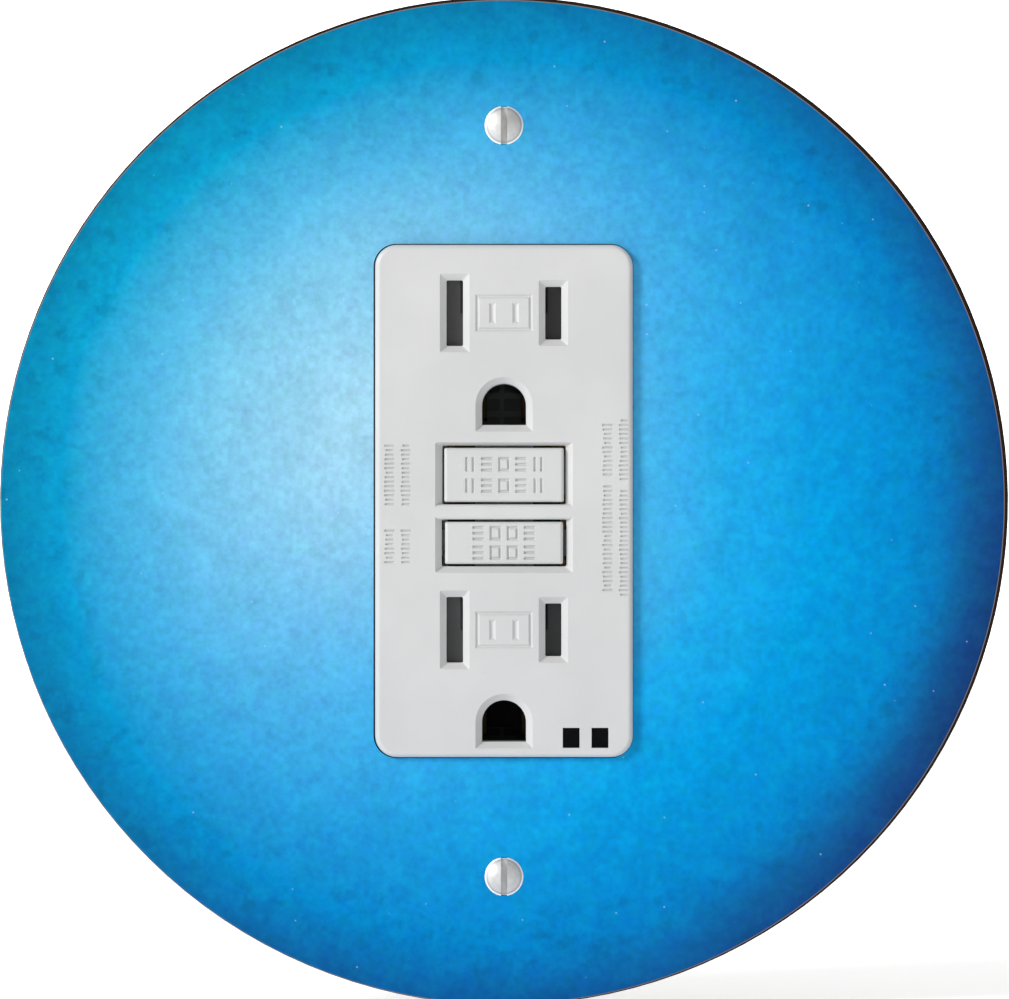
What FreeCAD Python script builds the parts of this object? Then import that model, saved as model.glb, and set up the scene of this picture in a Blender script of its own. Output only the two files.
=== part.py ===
import FreeCAD, Part
import math
import os

# A ground-fault outlet with its round wall plate.
# X runs to the right, Z up and Y into the wall. The wall's surface is y = 0 and the origin is the
# device's centre on it, so everything seen from the room has a negative y. Sizes are millimetres.

os.makedirs("parts", exist_ok=True)
V = FreeCAD.Vector
DIRECTION = {"x": V(1, 0, 0), "y": V(0, 1, 0), "z": V(0, 0, 1)}

# ---- Round wall plate: a board with a shallow pocket routed in its back ----
plate_diameter = 130.0
plate_thickness = 6.0
plate_front_web = 3.0
plate_edge_break = 0.25
pocket_width = 48.0
pocket_end_gap = 2.6
pocket_corner = 6.0
plate_opening_gap = 0.14
plate_opening_at = -0.08

# ---- Face of the device, which shows through the plate ----
face_width = 33.2
face_height = 66.0
face_corner = 2.8
face_edge_round = 0.7
face_proud = 1.2
face_wall = 1.8
skirt_wall = 1.2

# ---- Body behind the face ----
side_lip = 4.4
end_lip = 1.0
body_corner = 2.0
body_wall = 1.8
inner_corner = 0.5
body_depth = 28.5
lip_wall = 1.2
pocket_to_lip = 0.6
cover_depth = 4.0

# ---- Mounting strap ----
strap_thickness = 1.2
strap_web_width = 7.6
strap_neck_width = 12.0
strap_ear_width = 25.0
plaster_ear_width = 38.0
plaster_ear_height = 7.0
strap_corner = 3.0
box_screw_past_body = 7.67
plate_screw_past_box_screw = 6.75
strap_past_plate_screw = 4.93

# ---- Outlets: heights of the blade slots' centres, and their standard spacings ----
outlet_heights = {"upper": 24.2, "lower": -16.6}
blade_spacing = 12.7
ground_drop = 11.9
neutral_slot_width = 2.13
neutral_slot_height = 8.46
hot_slot_width = 2.08
hot_slot_height = 6.8
slot_corner = 0.2
ground_width = 5.67
ground_height = 5.35
entry_chamfer = 0.85
entry_chamfer_depth = 0.8

# ---- Buttons ----
reset_height_at = 3.35
reset_width = 15.4
reset_height = 6.97
reset_pop_out = 1.2
test_height_at = -5.4
test_width = 15.2
test_height = 5.43
button_corner = 0.25
button_edge_round = 0.45
reset_side_gap = 0.25
test_side_gap = 0.42
button_end_gap = 0.3
button_recess = 0.15
button_press = 1.0
button_stop_gap = 0.2
button_lip = 0.65
well_bevel = 0.85
well_top_bevel = 0.42
well_depth = 0.9
bar_round = 0.5
guide_wall = 0.8
guide_depth = 0.6
button_front_wall = 1.4
button_side_wall = 1.5
button_end_wall = 1.0
button_lip_depth = 1.0
spring_seat_margin = 0.4
test_leg_radius = 1.2
test_spring_pocket = 2.75

# ---- Status windows ----
window_width = 2.07
window_height = 2.49
window_centres = (8.64, 12.35)
window_above_face_end = 2.5
light_pipe_recess = 0.15
light_pipe_bar = 1.15
light_pipe_to_board = 1.7
led_base = (1.9, 0.6, 2.2)
led_dome = (1.3, 0.8, 1.5)

# ---- Shutters behind the blade slots ----
shutter_thickness = 1.8
shutter_width = 3.6
shutter_height = 10.4
shutter_past_slot = 0.13
tray_floor = 1.0
tray_wall = 0.9
tray_side_gap = 0.15
tray_end_gap = 0.2
tray_slot_margin = 0.15
ramp_width = 1.1
ramp_depth = 0.7
shutter_spring_radius = 0.8
shutter_spring_wire = 0.3

# ---- Blade and ground contacts ----
sheet = 0.6
contact_leaf_gap = 2.0
contact_leaf_height = 8.8
contact_depth = 8.0
contact_mouth = 1.0
bus_front = 3.0
load_arm_width = 3.0
load_arm_thickness = 0.8
ground_foot_width = 7.2
ground_foot_height = 6.8
ground_leaf_gap = 4.6
ground_leaf_width = 3.2

# ---- Deck that divides the contacts from the mechanism ----
deck_at = 11.0
deck_thickness = 1.4
deck_to_side = 2.2
deck_bridge_width = 8.0
deck_window_below = 6.8
deck_window_above = 6.0
rib_height = 12.0
inner_rib_gap = 0.3
inner_rib_wall = 0.6
outer_rib_gap = 0.9
outer_rib_wall = 0.8

# ---- Terminals ----
terminal_height_at = 16.0
terminal_depth_at = 18.0
terminal_plate = 1.0
terminal_plate_height = 11.2
terminal_plate_width = 9.6
terminal_inset = 0.3
terminal_screw_radius = 2.08
terminal_head_radius = 3.7
terminal_head_height = 2.3
terminal_head_round = 0.5
terminal_screw_length = 7.2
clamp_thickness = 1.4
clamp_travel = 2.9
clamp_closed_gap = 0.2
clamp_width = 8.2
clamp_height = 10.6
clamp_groove = 1.0
barrier_wall = 0.8
board_foot_width = 1.8
head_slot_depth = 1.2
head_slot_width = 1.2
head_cross_length = 4.4
wire_hole_radius = 1.3
wire_hole_offset = 3.6

# ---- Circuit board and what it carries ----
board_thickness = 1.4
board_width = 27.2
board_to_back = 1.9
board_end_gap = 0.4
board_post_radius = 1.4
board_post_inset_x = 2.0
board_post_inset_z = 2.2
lead_radius = 0.3
varistor_radius = 4.1
varistor_thickness = 3.6
varistor_inside = 7.8
varistor_round = 1.2
varistor_lead_pitch = 5.0
varistor_above_bobbin = 2.0
lead_length = 0.6
capacitor_size = (5.0, 7.1, 4.6)
capacitor_inside = 6.2
capacitor_lead_pitch = 2.8
capacitor_above_bobbin = 3.0
switch_radius = 2.3
switch_length = 4.5
switch_flat_at = 1.2
diode_radius = 0.9
diode_length = 3.6
diode_wire = 0.25
diode_places = (10.4, 12.6)
chip_size = (3.9, 1.35, 4.9)
chip_pitch = 1.27
chip_leg_span = 6.0
chip_leg_width = 0.42
chip_leg_thickness = 0.4

# ---- Trip mechanism ----
pin_radius = 1.3
pin_length = 26.6
pin_point = 0.5
pin_groove_depth = 0.35
pin_groove_width = 1.0
pin_in_button = 2.6
reset_spring_radius = 2.4
reset_spring_wire = 0.4
test_spring_radius = 2.0
test_spring_wire = 0.35
test_blade_thickness = 0.25
test_blade_width = 3.0
test_blade_gap = 0.2
test_blade_below = 4.1
test_blade_above = 2.0
test_blade_foot = 1.2
carriage_width = 19.6
carriage_height = 11.2
carriage_depth = 5.7
carriage_travel = 1.6
carriage_bore_gap = 0.4
carriage_relief_at = 4.2
carriage_side_wall = 1.2
carriage_front_wall = 1.6
contact_button_radius = 1.5
contact_arm_width = 3.0
contact_arm_below = 6.2
contact_arm_above = 2.2
contact_gap = 0.1
solenoid_depth_at = 18.6
solenoid_size = 8.4
solenoid_length = 13.0
solenoid_above_end = 2.4
frame_wall = 0.8
bobbin_flange = 0.8
bobbin_wall = 0.5
bore_gap = 0.2
plunger_radius = 1.6
plunger_stroke = 2.0
plunger_collar_radius = 2.7
plunger_neck_radius = 1.0
plunger_head_radius = 1.5
plunger_neck_length = 1.4
plunger_rim = 0.8
plunger_tail_gap = 0.5
plunger_spring_radius = 2.5
plunger_spring_wire = 0.4
plunger_spring_closed = 1.8
latch_thickness = 0.6
latch_width = 6.0
latch_above_pin = 5.2
latch_hook = 2.4
latch_neck_gap = 0.15
core_radius = 8.0
core_cup_wall = 0.7
core_tube_radius = 2.9
core_gap = 0.2
core_to_board = 0.5
core_divider = 0.8
core_round = 0.5
conductor_radius = 1.1
conductor_pitch = 3.0

# ---- Fasteners ----
plate_screw_head = 5.0
plate_screw_radius = 1.72
plate_screw_tip = 5.0
plate_screw_dome = 0.9
driver_slot = 0.8
driver_slot_depth = 1.05
box_screw_radius = 1.75
box_screw_neck = 1.5
box_screw_head = 3.4
box_screw_head_height = 1.6
box_screw_head_round = 0.7
box_screw_slot = (1.0, 0.8)
box_screw_neck_end = 0.0
box_screw_tip = 24.0
box_screw_slot_in_strap = 6.4
assembly_screw_radius = 1.2
assembly_head_radius = 2.4
assembly_head_height = 1.4
assembly_head_sunk = 0.2
assembly_slot = (0.7, 0.7)
boss_radius = 2.9
boss_inset_x = 1.7
boss_inset_z = 1.2
boss_floor = 0.6
ground_screw_radius = 2.08
ground_screw_head = 4.0
ground_washer = 0.8
ground_hexagon = 0.86
ground_hexagon_height = 1.8
ground_screw_slot = (1.1, 1.2)
ground_screw_length = 7.0
ground_tab_depth = 10.0
ground_tab_height = 8.6
ground_screw_depth_at = 5.4
ground_screw_past_body = 6.4

# ---- Clearances ----
fit_gap = 0.05
slide_gap = 0.1
free_gap = 0.3

# How far a cut runs past what it cuts
beyond = 10.0

# ---- Levels and places that follow from the sizes above ----
y_face = -(plate_thickness + face_proud)
y_face_inside = y_face + face_wall
y_plate_front = -plate_thickness
y_pocket = -plate_thickness + plate_front_web
y_lip = y_pocket + pocket_to_lip
y_strap = -strap_thickness
y_button = y_face + button_recess
y_button_back = y_strap - button_stop_gap - button_press
y_back_inside = body_depth - body_wall
y_board_back = y_back_inside - board_to_back
y_board = y_board_back - board_thickness
y_deck_back = deck_at + deck_thickness

assembly_head_front = body_depth - assembly_head_sunk - assembly_head_height

body_width = face_width + 2 * side_lip
body_height = face_height + 2 * end_lip
inner_half_width = body_width / 2 - body_wall
inner_half_height = body_height / 2 - body_wall
box_screw_at = body_height / 2 + box_screw_past_body
plate_screw_at = box_screw_at + plate_screw_past_box_screw
strap_end = plate_screw_at + strap_past_plate_screw
boss_x = inner_half_width - boss_inset_x
boss_z = inner_half_height - boss_inset_z
window_z = -face_height / 2 + window_above_face_end
blade_x = blade_spacing / 2
shutter_stroke = (shutter_width + neutral_slot_width) / 2 + shutter_past_slot
shutter_front = y_face_inside + slide_gap
tray_front = shutter_front + shutter_thickness + slide_gap
leaf_inner = blade_x - contact_leaf_gap / 2
leaf_outer = blade_x + contact_leaf_gap / 2
terminal_inside = inner_half_width - terminal_inset - terminal_plate
clamp_at = terminal_inside - clamp_closed_gap - clamp_travel - clamp_thickness
carriage_front = y_deck_back + free_gap
latch_at = carriage_front + carriage_depth + carriage_travel + free_gap
bobbin_low = -inner_half_height + solenoid_above_end + frame_wall
bobbin_high = bobbin_low + solenoid_length
pin_start = y_button_back - pin_in_button
core_height_at = inner_half_height - core_radius - 2 * free_gap
core_span = (y_deck_back + core_gap, y_board - core_to_board)
test_seat = y_button_back - test_spring_pocket


# ---------------------------------------------------------------- shape helpers
def block(x, y, z):
    """A box from its three (low, high) spans."""
    return Part.makeBox(x[1] - x[0], y[1] - y[0], z[1] - z[0], V(x[0], y[0], z[0]))


def around(centre, size):
    """The span of a size about its centre."""
    return (centre - size / 2, centre + size / 2)


def rod(axis, a, b, radius, span):
    """A round bar along an axis; a and b are its place on the other two axes, in X, Y, Z order."""
    start = {"x": V(span[0], a, b), "y": V(a, span[0], b), "z": V(a, b, span[0])}[axis]
    return Part.makeCylinder(radius, span[1] - span[0], start, DIRECTION[axis])


def tube(axis, a, b, outer, inner, span):
    return rod(axis, a, b, outer, span).cut(rod(axis, a, b, inner, span))


def outline(points, arcs, y):
    """A closed wire at depth y. Each arc's number is the corner, and its value the corner radius."""
    count = len(points)
    ends = []
    for i, (x, z) in enumerate(points):
        r = arcs.get(i, 0)
        before = points[i - 1]
        after = points[(i + 1) % count]
        u = V(before[0] - x, 0, before[1] - z).normalize() * r
        w = V(after[0] - x, 0, after[1] - z).normalize() * r
        corner = V(x, y, z)
        middle = corner + (u + w) * (1 - math.sqrt(0.5))
        ends.append((corner + u, middle, corner + w))
    edges = []
    for i, (start, middle, end) in enumerate(ends):
        if (start - end).Length > 1e-6:
            edges.append(Part.Arc(start, middle, end).toShape())
        edges.append(Part.LineSegment(end, ends[(i + 1) % count][0]).toShape())
    return Part.Wire(edges)


def rectangle(width, height, corner, x, z, y):
    """The wire of a rectangle with rounded corners, centred on x, z."""
    (x0, x1), (z0, z1) = around(x, width), around(z, height)
    points = [(x0, z0), (x1, z0), (x1, z1), (x0, z1)]
    return outline(points, {i: corner for i in range(4)}, y)


def ground_outline(grow, z, y):
    """The ground hole's wire: flat at the bottom and half round at the top, about the pin's axis."""
    r = ground_width / 2 + grow
    low = z - (ground_height - ground_width / 2) - grow
    edges = [
        Part.LineSegment(V(-r, y, low), V(r, y, low)).toShape(),
        Part.LineSegment(V(r, y, low), V(r, y, z)).toShape(),
        Part.Arc(V(r, y, z), V(0, y, z + r), V(-r, y, z)).toShape(),
        Part.LineSegment(V(-r, y, z), V(-r, y, low)).toShape(),
    ]
    return Part.Wire(edges)


def prism(wire, depth):
    return Part.Face(wire).extrude(V(0, depth, 0))


def plate_like(width, height, corner, y, x=0.0, z=0.0):
    """A flat body with rounded corners, between two depths."""
    return prism(rectangle(width, height, corner, x, z, y[0]), y[1] - y[0])


def funnel(front, back):
    """The solid between two wires of the same make, as of a chamfered entry."""
    return Part.makeLoft([front, back], True, True)


def round_rim(shape, y, radius):
    """Rounds every edge that lies at depth y."""
    rim = [e for e in shape.Edges if abs(e.BoundBox.YMin - y) < 1e-6 and abs(e.BoundBox.YMax - y) < 1e-6]
    return shape.makeFillet(radius, rim)


def joined(shapes):
    whole = shapes[0]
    for shape in shapes[1:]:
        whole = whole.fuse(shape)
    return whole.removeSplitter()


def less(shape, cuts):
    for cut in cuts:
        shape = shape.cut(cut)
    return shape


def mirror_x(shape):
    return shape.mirror(V(0, 0, 0), V(1, 0, 0))


def on_side(shape, side):
    """A piece made for the right side, put on the side asked for."""
    return shape if side > 0 else mirror_x(shape)


def save(node, *solids):
    shape = solids[0] if len(solids) == 1 else Part.makeCompound(list(solids))
    shape.exportStep("parts/" + node + ".step")


# ---------------------------------------------------------------- wall plate and its screws
def wall_plate():
    board = rod("y", 0, 0, plate_diameter / 2, (y_plate_front, 0))
    board = round_rim(board, y_plate_front, plate_edge_break)
    opening = plate_like(
        face_width + 2 * plate_opening_gap,
        face_height + 2 * plate_opening_gap,
        face_corner + plate_opening_gap,
        (y_plate_front - 1, 1),
        plate_opening_at,
    )
    pocket = plate_like(pocket_width, 2 * (strap_end + pocket_end_gap), pocket_corner, (y_pocket, 1))
    cuts = [opening, pocket]
    for z in (plate_screw_at, -plate_screw_at):
        cuts.append(plate_screw_blank(z, fit_gap))
    return less(board, cuts)


def plate_screw_blank(z, grow):
    """Shank and countersunk head, grown all round to make the hole for it."""
    head = plate_screw_head / 2 + grow
    shank = plate_screw_radius + grow
    cone_depth = head - shank
    cone = Part.makeCone(head, shank, cone_depth, V(0, y_plate_front, z), DIRECTION["y"])
    return cone.fuse(rod("y", 0, z, shank, (y_plate_front, plate_screw_tip)))


def plate_screw(z):
    """Oval head: a cone that sinks into the plate and a low dome that stands out of it."""
    head = plate_screw_head / 2
    ball_radius = (head ** 2 + plate_screw_dome ** 2) / (2 * plate_screw_dome)
    ball = Part.makeSphere(ball_radius, V(0, y_plate_front - plate_screw_dome + ball_radius, z))
    dome = ball.common(rod("y", 0, z, head + 1, (y_plate_front - plate_screw_dome, y_plate_front)))
    blank = plate_screw_blank(z, 0).fuse(dome)
    groove = block(
        around(0, driver_slot),
        (y_plate_front - beyond, y_plate_front - plate_screw_dome + driver_slot_depth),
        around(z, beyond),
    )
    return blank.cut(groove)


# ---------------------------------------------------------------- front cover
def slot_cut(x, z, width, height):
    """A blade slot with its chamfered entry."""
    front = rectangle(width + 2 * entry_chamfer, height + 2 * entry_chamfer, slot_corner, x, z, y_face)
    back = rectangle(width, height, slot_corner, x, z, y_face + entry_chamfer_depth)
    through = plate_like(width, height, slot_corner, (y_face, y_face_inside + 1), x, z)
    return funnel(front, back).fuse(through)


def ground_cut(z):
    front = ground_outline(entry_chamfer, z, y_face)
    back = ground_outline(0, z, y_face + entry_chamfer_depth)
    return funnel(front, back).fuse(prism(ground_outline(0, z, y_face), face_wall + 1))


def button_opening(width, height, z, side_gap, grow, y):
    return plate_like(
        width + 2 * (side_gap + grow),
        height + 2 * (button_end_gap + grow),
        button_corner + grow,
        y,
        0,
        z,
    )


def button_well():
    """The shared bevelled recess round both buttons, less the bar left standing between them."""
    width = max(width + 2 * side_gap for width, _, _, side_gap in button_sizes())
    top = reset_height_at + reset_height / 2 + button_end_gap
    bottom = test_height_at - test_height / 2 - button_end_gap
    middle = (top + bottom) / 2
    outer_middle = (top + well_top_bevel + bottom - well_bevel) / 2
    outer_height = top - bottom + well_top_bevel + well_bevel
    front = rectangle(width + 2 * well_bevel, outer_height, button_corner, 0, outer_middle, y_face)
    back = rectangle(width, top - bottom, button_corner, 0, middle, y_face + well_depth)
    well = funnel(front, back)
    bar_top = reset_height_at - reset_height / 2 - button_end_gap
    bar_bottom = test_height_at + test_height / 2 + button_end_gap
    bar = block(around(0, width + 2 * well_bevel + 1), (y_face, y_face_inside), (bar_bottom, bar_top))
    rim = [e for e in bar.Edges if abs(e.BoundBox.YMax - y_face) < 1e-6 and e.BoundBox.XLength > 1]
    return well.cut(bar.makeFillet(min(bar_round, (bar_top - bar_bottom) / 3), rim))


def front_cover():
    y_inside_lip = y_lip + lip_wall
    face = plate_like(face_width, face_height, face_corner, (y_face, y_inside_lip))
    face = round_rim(face, y_face, face_edge_round)
    flange = plate_like(body_width, body_height, body_corner, (y_lip, cover_depth))
    shell = joined([face, flange])
    cavity = plate_like(
        face_width - 2 * skirt_wall,
        face_height - 2 * skirt_wall,
        face_corner - skirt_wall,
        (y_face_inside, y_inside_lip + 1),
    )
    back_cavity = plate_like(
        2 * inner_half_width, 2 * inner_half_height, inner_corner, (y_inside_lip, cover_depth + 1)
    )
    shell = less(shell, [cavity, back_cavity])
    bosses = []
    holes = []
    for x in (boss_x, -boss_x):
        for z in (boss_z, -boss_z):
            bosses.append(rod("y", x, z, boss_radius, (y_inside_lip, cover_depth)))
            hole_depth = (y_inside_lip + boss_floor, cover_depth)
            holes.append(rod("y", x, z, assembly_screw_radius + fit_gap, hole_depth))
    keep = plate_like(body_width, body_height, body_corner, (y_lip, cover_depth))
    bosses = [boss.common(keep) for boss in bosses]
    guides = []
    guide = (y_face_inside, y_face_inside + guide_depth)
    for width, height, z, side_gap in button_sizes():
        guides.append(button_opening(width, height, z, side_gap, guide_wall, guide))
    shell = joined([shell] + bosses + guides)
    cuts = holes + [button_well()]
    for width, height, z, side_gap in button_sizes():
        cuts.append(button_opening(width, height, z, side_gap, 0, (y_face - 1, 0)))
    for z in outlet_heights.values():
        cuts.append(slot_cut(-blade_x, z, neutral_slot_width, neutral_slot_height))
        cuts.append(slot_cut(blade_x, z, hot_slot_width, hot_slot_height))
        cuts.append(ground_cut(z - ground_drop))
    for x in window_centres:
        cuts.append(
            block(
                around(x, window_width + 2 * fit_gap),
                (y_face - 1, y_face_inside + 1),
                around(window_z, window_height + 2 * fit_gap),
            )
        )
    for side in (1, -1):
        ends = sorted((side * (inner_half_height - 1), side * (body_height / 2 + 1)))
        cuts.append(
            block(
                around(0, strap_neck_width + 2 * slide_gap), (y_strap - slide_gap, cover_depth + 1), ends
            )
        )
    return less(shell, cuts)


def button_sizes():
    return (
        (reset_width, reset_height, reset_height_at, reset_side_gap),
        (test_width, test_height, test_height_at, test_side_gap),
    )


# ---------------------------------------------------------------- buttons
def button_body(width, height, z, spring_seat):
    """A cap with a rounded face, a stop lip at each side and a hollow back."""
    cap = plate_like(width, height, button_corner, (y_button, y_button_back), 0, z)
    cap = round_rim(cap, y_button, button_edge_round)
    inner_height = height - 2 * button_end_wall
    lip_depth = (y_button_back - button_lip_depth, y_button_back)
    lip = block(around(0, width + 2 * button_lip), lip_depth, around(z, inner_height))
    body = joined([cap, lip])
    hollow_depth = (y_button + button_front_wall, y_button_back)
    hollow = block(around(0, width - 2 * button_side_wall), hollow_depth, around(z, inner_height))
    seat = rod("y", 0, z, spring_seat + spring_seat_margin, (y_button, y_button_back)).common(hollow)
    return body.cut(hollow.cut(seat))


def reset_button():
    body = button_body(reset_width, reset_height, reset_height_at, reset_spring_radius)
    return body.cut(rod("y", 0, reset_height_at, pin_radius, (pin_start, 0)))


def reset_pin():
    """A plain shank with a groove for the latch near its pointed tip."""
    end = pin_start + pin_length
    point_length = pin_radius - pin_point
    shank_end = end - point_length
    shank = rod("y", 0, reset_height_at, pin_radius, (pin_start, shank_end))
    tip = V(0, shank_end, reset_height_at)
    point = Part.makeCone(pin_radius, pin_point, point_length, tip, DIRECTION["y"])
    groove_span = around(latch_at + latch_thickness / 2, pin_groove_width)
    groove = tube("y", 0, reset_height_at, 2 * pin_radius, pin_radius - pin_groove_depth, groove_span)
    return shank.fuse(point).removeSplitter().cut(groove)


def test_button():
    """The test button has a leg that reaches the contact blade behind the strap."""
    body = button_body(test_width, test_height, test_height_at, test_spring_radius)
    pocket = (test_seat, y_button_back)
    seat = tube("y", 0, test_height_at, test_spring_radius + slide_gap, test_leg_radius, pocket)
    leg = rod("y", 0, test_height_at, test_leg_radius, (test_seat, contact_depth))
    return joined([body.cut(seat), leg])


def coil_sleeve(axis, a, b, radius, wire, span):
    """The space that a coil spring takes, as a plain sleeve."""
    return tube(axis, a, b, radius, radius - wire, span)


def reset_spring():
    """It stands on the deck, passes the strap and pushes the reset button out."""
    span = (y_button_back + fit_gap, deck_at - fit_gap)
    return coil_sleeve("y", 0, reset_height_at, reset_spring_radius, reset_spring_wire, span)


def test_spring():
    """It stands on the strap round the test button's leg."""
    span = (test_seat + fit_gap, y_strap - fit_gap)
    return coil_sleeve("y", 0, test_height_at, test_spring_radius, test_spring_wire, span)


# ---------------------------------------------------------------- status lights
def status_light_pipe():
    """Two square posts joined by a bar behind the face; each shows as a small window."""
    depth = (y_face + light_pipe_recess, y_board - light_pipe_to_board)
    posts = [block(around(x, window_width), depth, around(window_z, window_height)) for x in window_centres]
    low, high = window_centres
    bar = block(
        (low - window_width / 2, high + window_width / 2),
        (y_face_inside + fit_gap, y_face_inside + fit_gap + light_pipe_bar),
        (window_z - window_height / 2, window_z + window_height / 2 + light_pipe_bar),
    )
    return joined(posts + [bar])


def status_leds():
    leds = []
    for x in window_centres:
        level = y_board
        steps = []
        for width, depth, height in (led_base, led_dome):
            steps.append(block(around(x, width), (level - depth, level), around(window_z, height)))
            level -= depth
        leds.append(joined(steps))
    return leds


# ---------------------------------------------------------------- shutters
def shutter_tray(z):
    """A shallow tray behind the face that the two shutters of one outlet slide in."""
    half_width = blade_x + shutter_width / 2 + tray_side_gap
    half_height = shutter_height / 2 + tray_end_gap
    tray = block(
        (-half_width - tray_wall, half_width + tray_wall),
        (y_face_inside, tray_front + tray_floor),
        (z - half_height - tray_wall, z + half_height + tray_wall),
    )
    inside = block(
        (-half_width, half_width), (y_face_inside, tray_front), (z - half_height, z + half_height)
    )
    cuts = [inside]
    for side in (1, -1):
        cuts.append(
            block(
                around(side * blade_x, neutral_slot_width + 2 * tray_slot_margin),
                (y_face_inside, 0),
                around(z, neutral_slot_height + 2 * tray_slot_margin),
            )
        )
    return less(tray, cuts)


def shutter(z, side):
    """A slide that covers one blade slot; its sloped front is pushed aside by the blade."""
    slide = block(
        around(blade_x, shutter_width),
        (shutter_front, shutter_front + shutter_thickness),
        around(z, shutter_height),
    )
    inner = blade_x - shutter_width / 2
    corners = [
        V(inner, shutter_front, z),
        V(inner + ramp_width, shutter_front, z),
        V(inner, shutter_front + ramp_depth, z),
    ]
    wedge = Part.Face(Part.makePolygon(corners + corners[:1])).extrude(V(0, 0, shutter_height / 2))
    return on_side(slide.cut(wedge), side)


def shutter_spring(z):
    half = blade_x - shutter_width / 2 - fit_gap
    y = shutter_front + shutter_thickness / 2
    return coil_sleeve("x", y, z, shutter_spring_radius, shutter_spring_wire, (-half, half))


# ---------------------------------------------------------------- strap and ground parts
def mounting_strap():
    y = (y_strap, 0)
    neck_end = body_height / 2 + free_gap
    web_end = inner_half_height - 3
    pieces = [block(around(0, strap_web_width), y, (-web_end, web_end))]
    for side in (1, -1):
        neck = sorted((side * web_end, side * (neck_end + 1)))
        pieces.append(block(around(0, strap_neck_width), y, neck))
        ear_middle = side * (neck_end + strap_end) / 2
        pieces.append(plate_like(strap_ear_width, strap_end - neck_end, strap_corner, y, 0, ear_middle))
        wing_middle = side * (strap_end - plaster_ear_height / 2)
        pieces.append(plate_like(plaster_ear_width, plaster_ear_height, strap_corner, y, 0, wing_middle))
    half = strap_ear_width / 2
    z_tab = ground_screw_place()[1]
    tab_depth = (y_strap, ground_tab_depth)
    pieces.append(block((-half, -half + strap_thickness), tab_depth, around(z_tab, ground_tab_height)))
    strap = joined(pieces)
    through = (-beyond, beyond)
    cuts = [
        rod("y", 0, reset_height_at, reset_spring_radius + free_gap, through),
        rod("y", 0, test_height_at, test_leg_radius + free_gap, through),
        rod("x", *ground_screw_place(), ground_screw_radius + fit_gap, (-half - 1, -half + 2)),
    ]
    for z in outlet_heights.values():
        cuts.append(prism(ground_outline(0, z - ground_drop, -beyond), 2 * beyond))
    for z in (box_screw_at, -box_screw_at):
        slot_height = 2 * (box_screw_neck + slide_gap)
        cuts.append(plate_like(box_screw_slot_in_strap, slot_height, box_screw_neck, through, 0, z))
    for z in (plate_screw_at, -plate_screw_at):
        cuts.append(rod("y", 0, z, plate_screw_radius + fit_gap, through))
    return less(strap, cuts)


def ground_screw_place():
    """Depth and height of the ground screw's axis."""
    return ground_screw_depth_at, -(body_height / 2 + free_gap + ground_screw_past_body)


def ground_contact(z):
    """Two spring leaves on a riveted foot, which grip a plug's round ground pin."""
    foot = block(around(0, ground_foot_width), (0, sheet), around(z, ground_foot_height))
    foot = foot.cut(prism(ground_outline(fit_gap, z, -beyond), 2 * beyond))
    near = ground_leaf_gap / 2
    leaf = block((near, near + sheet), (0, contact_depth), around(z, ground_leaf_width))
    return joined([foot, leaf, mirror_x(leaf)])


def ground_screw():
    """Hexagonal washer head with a driver slot, outside the strap's bent tab."""
    y, z = ground_screw_place()
    outside = -strap_ear_width / 2 - fit_gap
    washer = rod("x", y, z, ground_screw_head, (outside - ground_washer, outside))
    top = outside - ground_washer - ground_hexagon_height
    reach = ground_screw_head * ground_hexagon
    corners = []
    for i in range(7):
        angle = math.radians(60 * i)
        corners.append(V(top, y + reach * math.cos(angle), z + reach * math.sin(angle)))
    hexagon = Part.Face(Part.makePolygon(corners)).extrude(V(ground_hexagon_height, 0, 0))
    shank = rod("x", y, z, ground_screw_radius, (outside, outside + ground_screw_length))
    slot_width, slot_depth = ground_screw_slot
    groove = block((top - 1, top + slot_depth), around(y, slot_width), around(z, beyond))
    return joined([washer, hexagon, shank]).cut(groove)


def box_mounting_screw(z):
    head_back = y_strap - fit_gap
    head = rod("y", 0, z, box_screw_head, (head_back - box_screw_head_height, head_back))
    head_front = head_back - box_screw_head_height
    rim = [e for e in head.Edges if e.BoundBox.YMax < head_front + fit_gap]
    head = head.makeFillet(box_screw_head_round, rim)
    neck = rod("y", 0, z, box_screw_neck, (head_back, box_screw_neck_end))
    shank = rod("y", 0, z, box_screw_radius, (box_screw_neck_end, box_screw_tip))
    slot_width, slot_depth = box_screw_slot
    groove = block(around(0, slot_width), (head_front - 1, head_front + slot_depth), around(z, beyond))
    return joined([head, neck, shank]).cut(groove)


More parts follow.
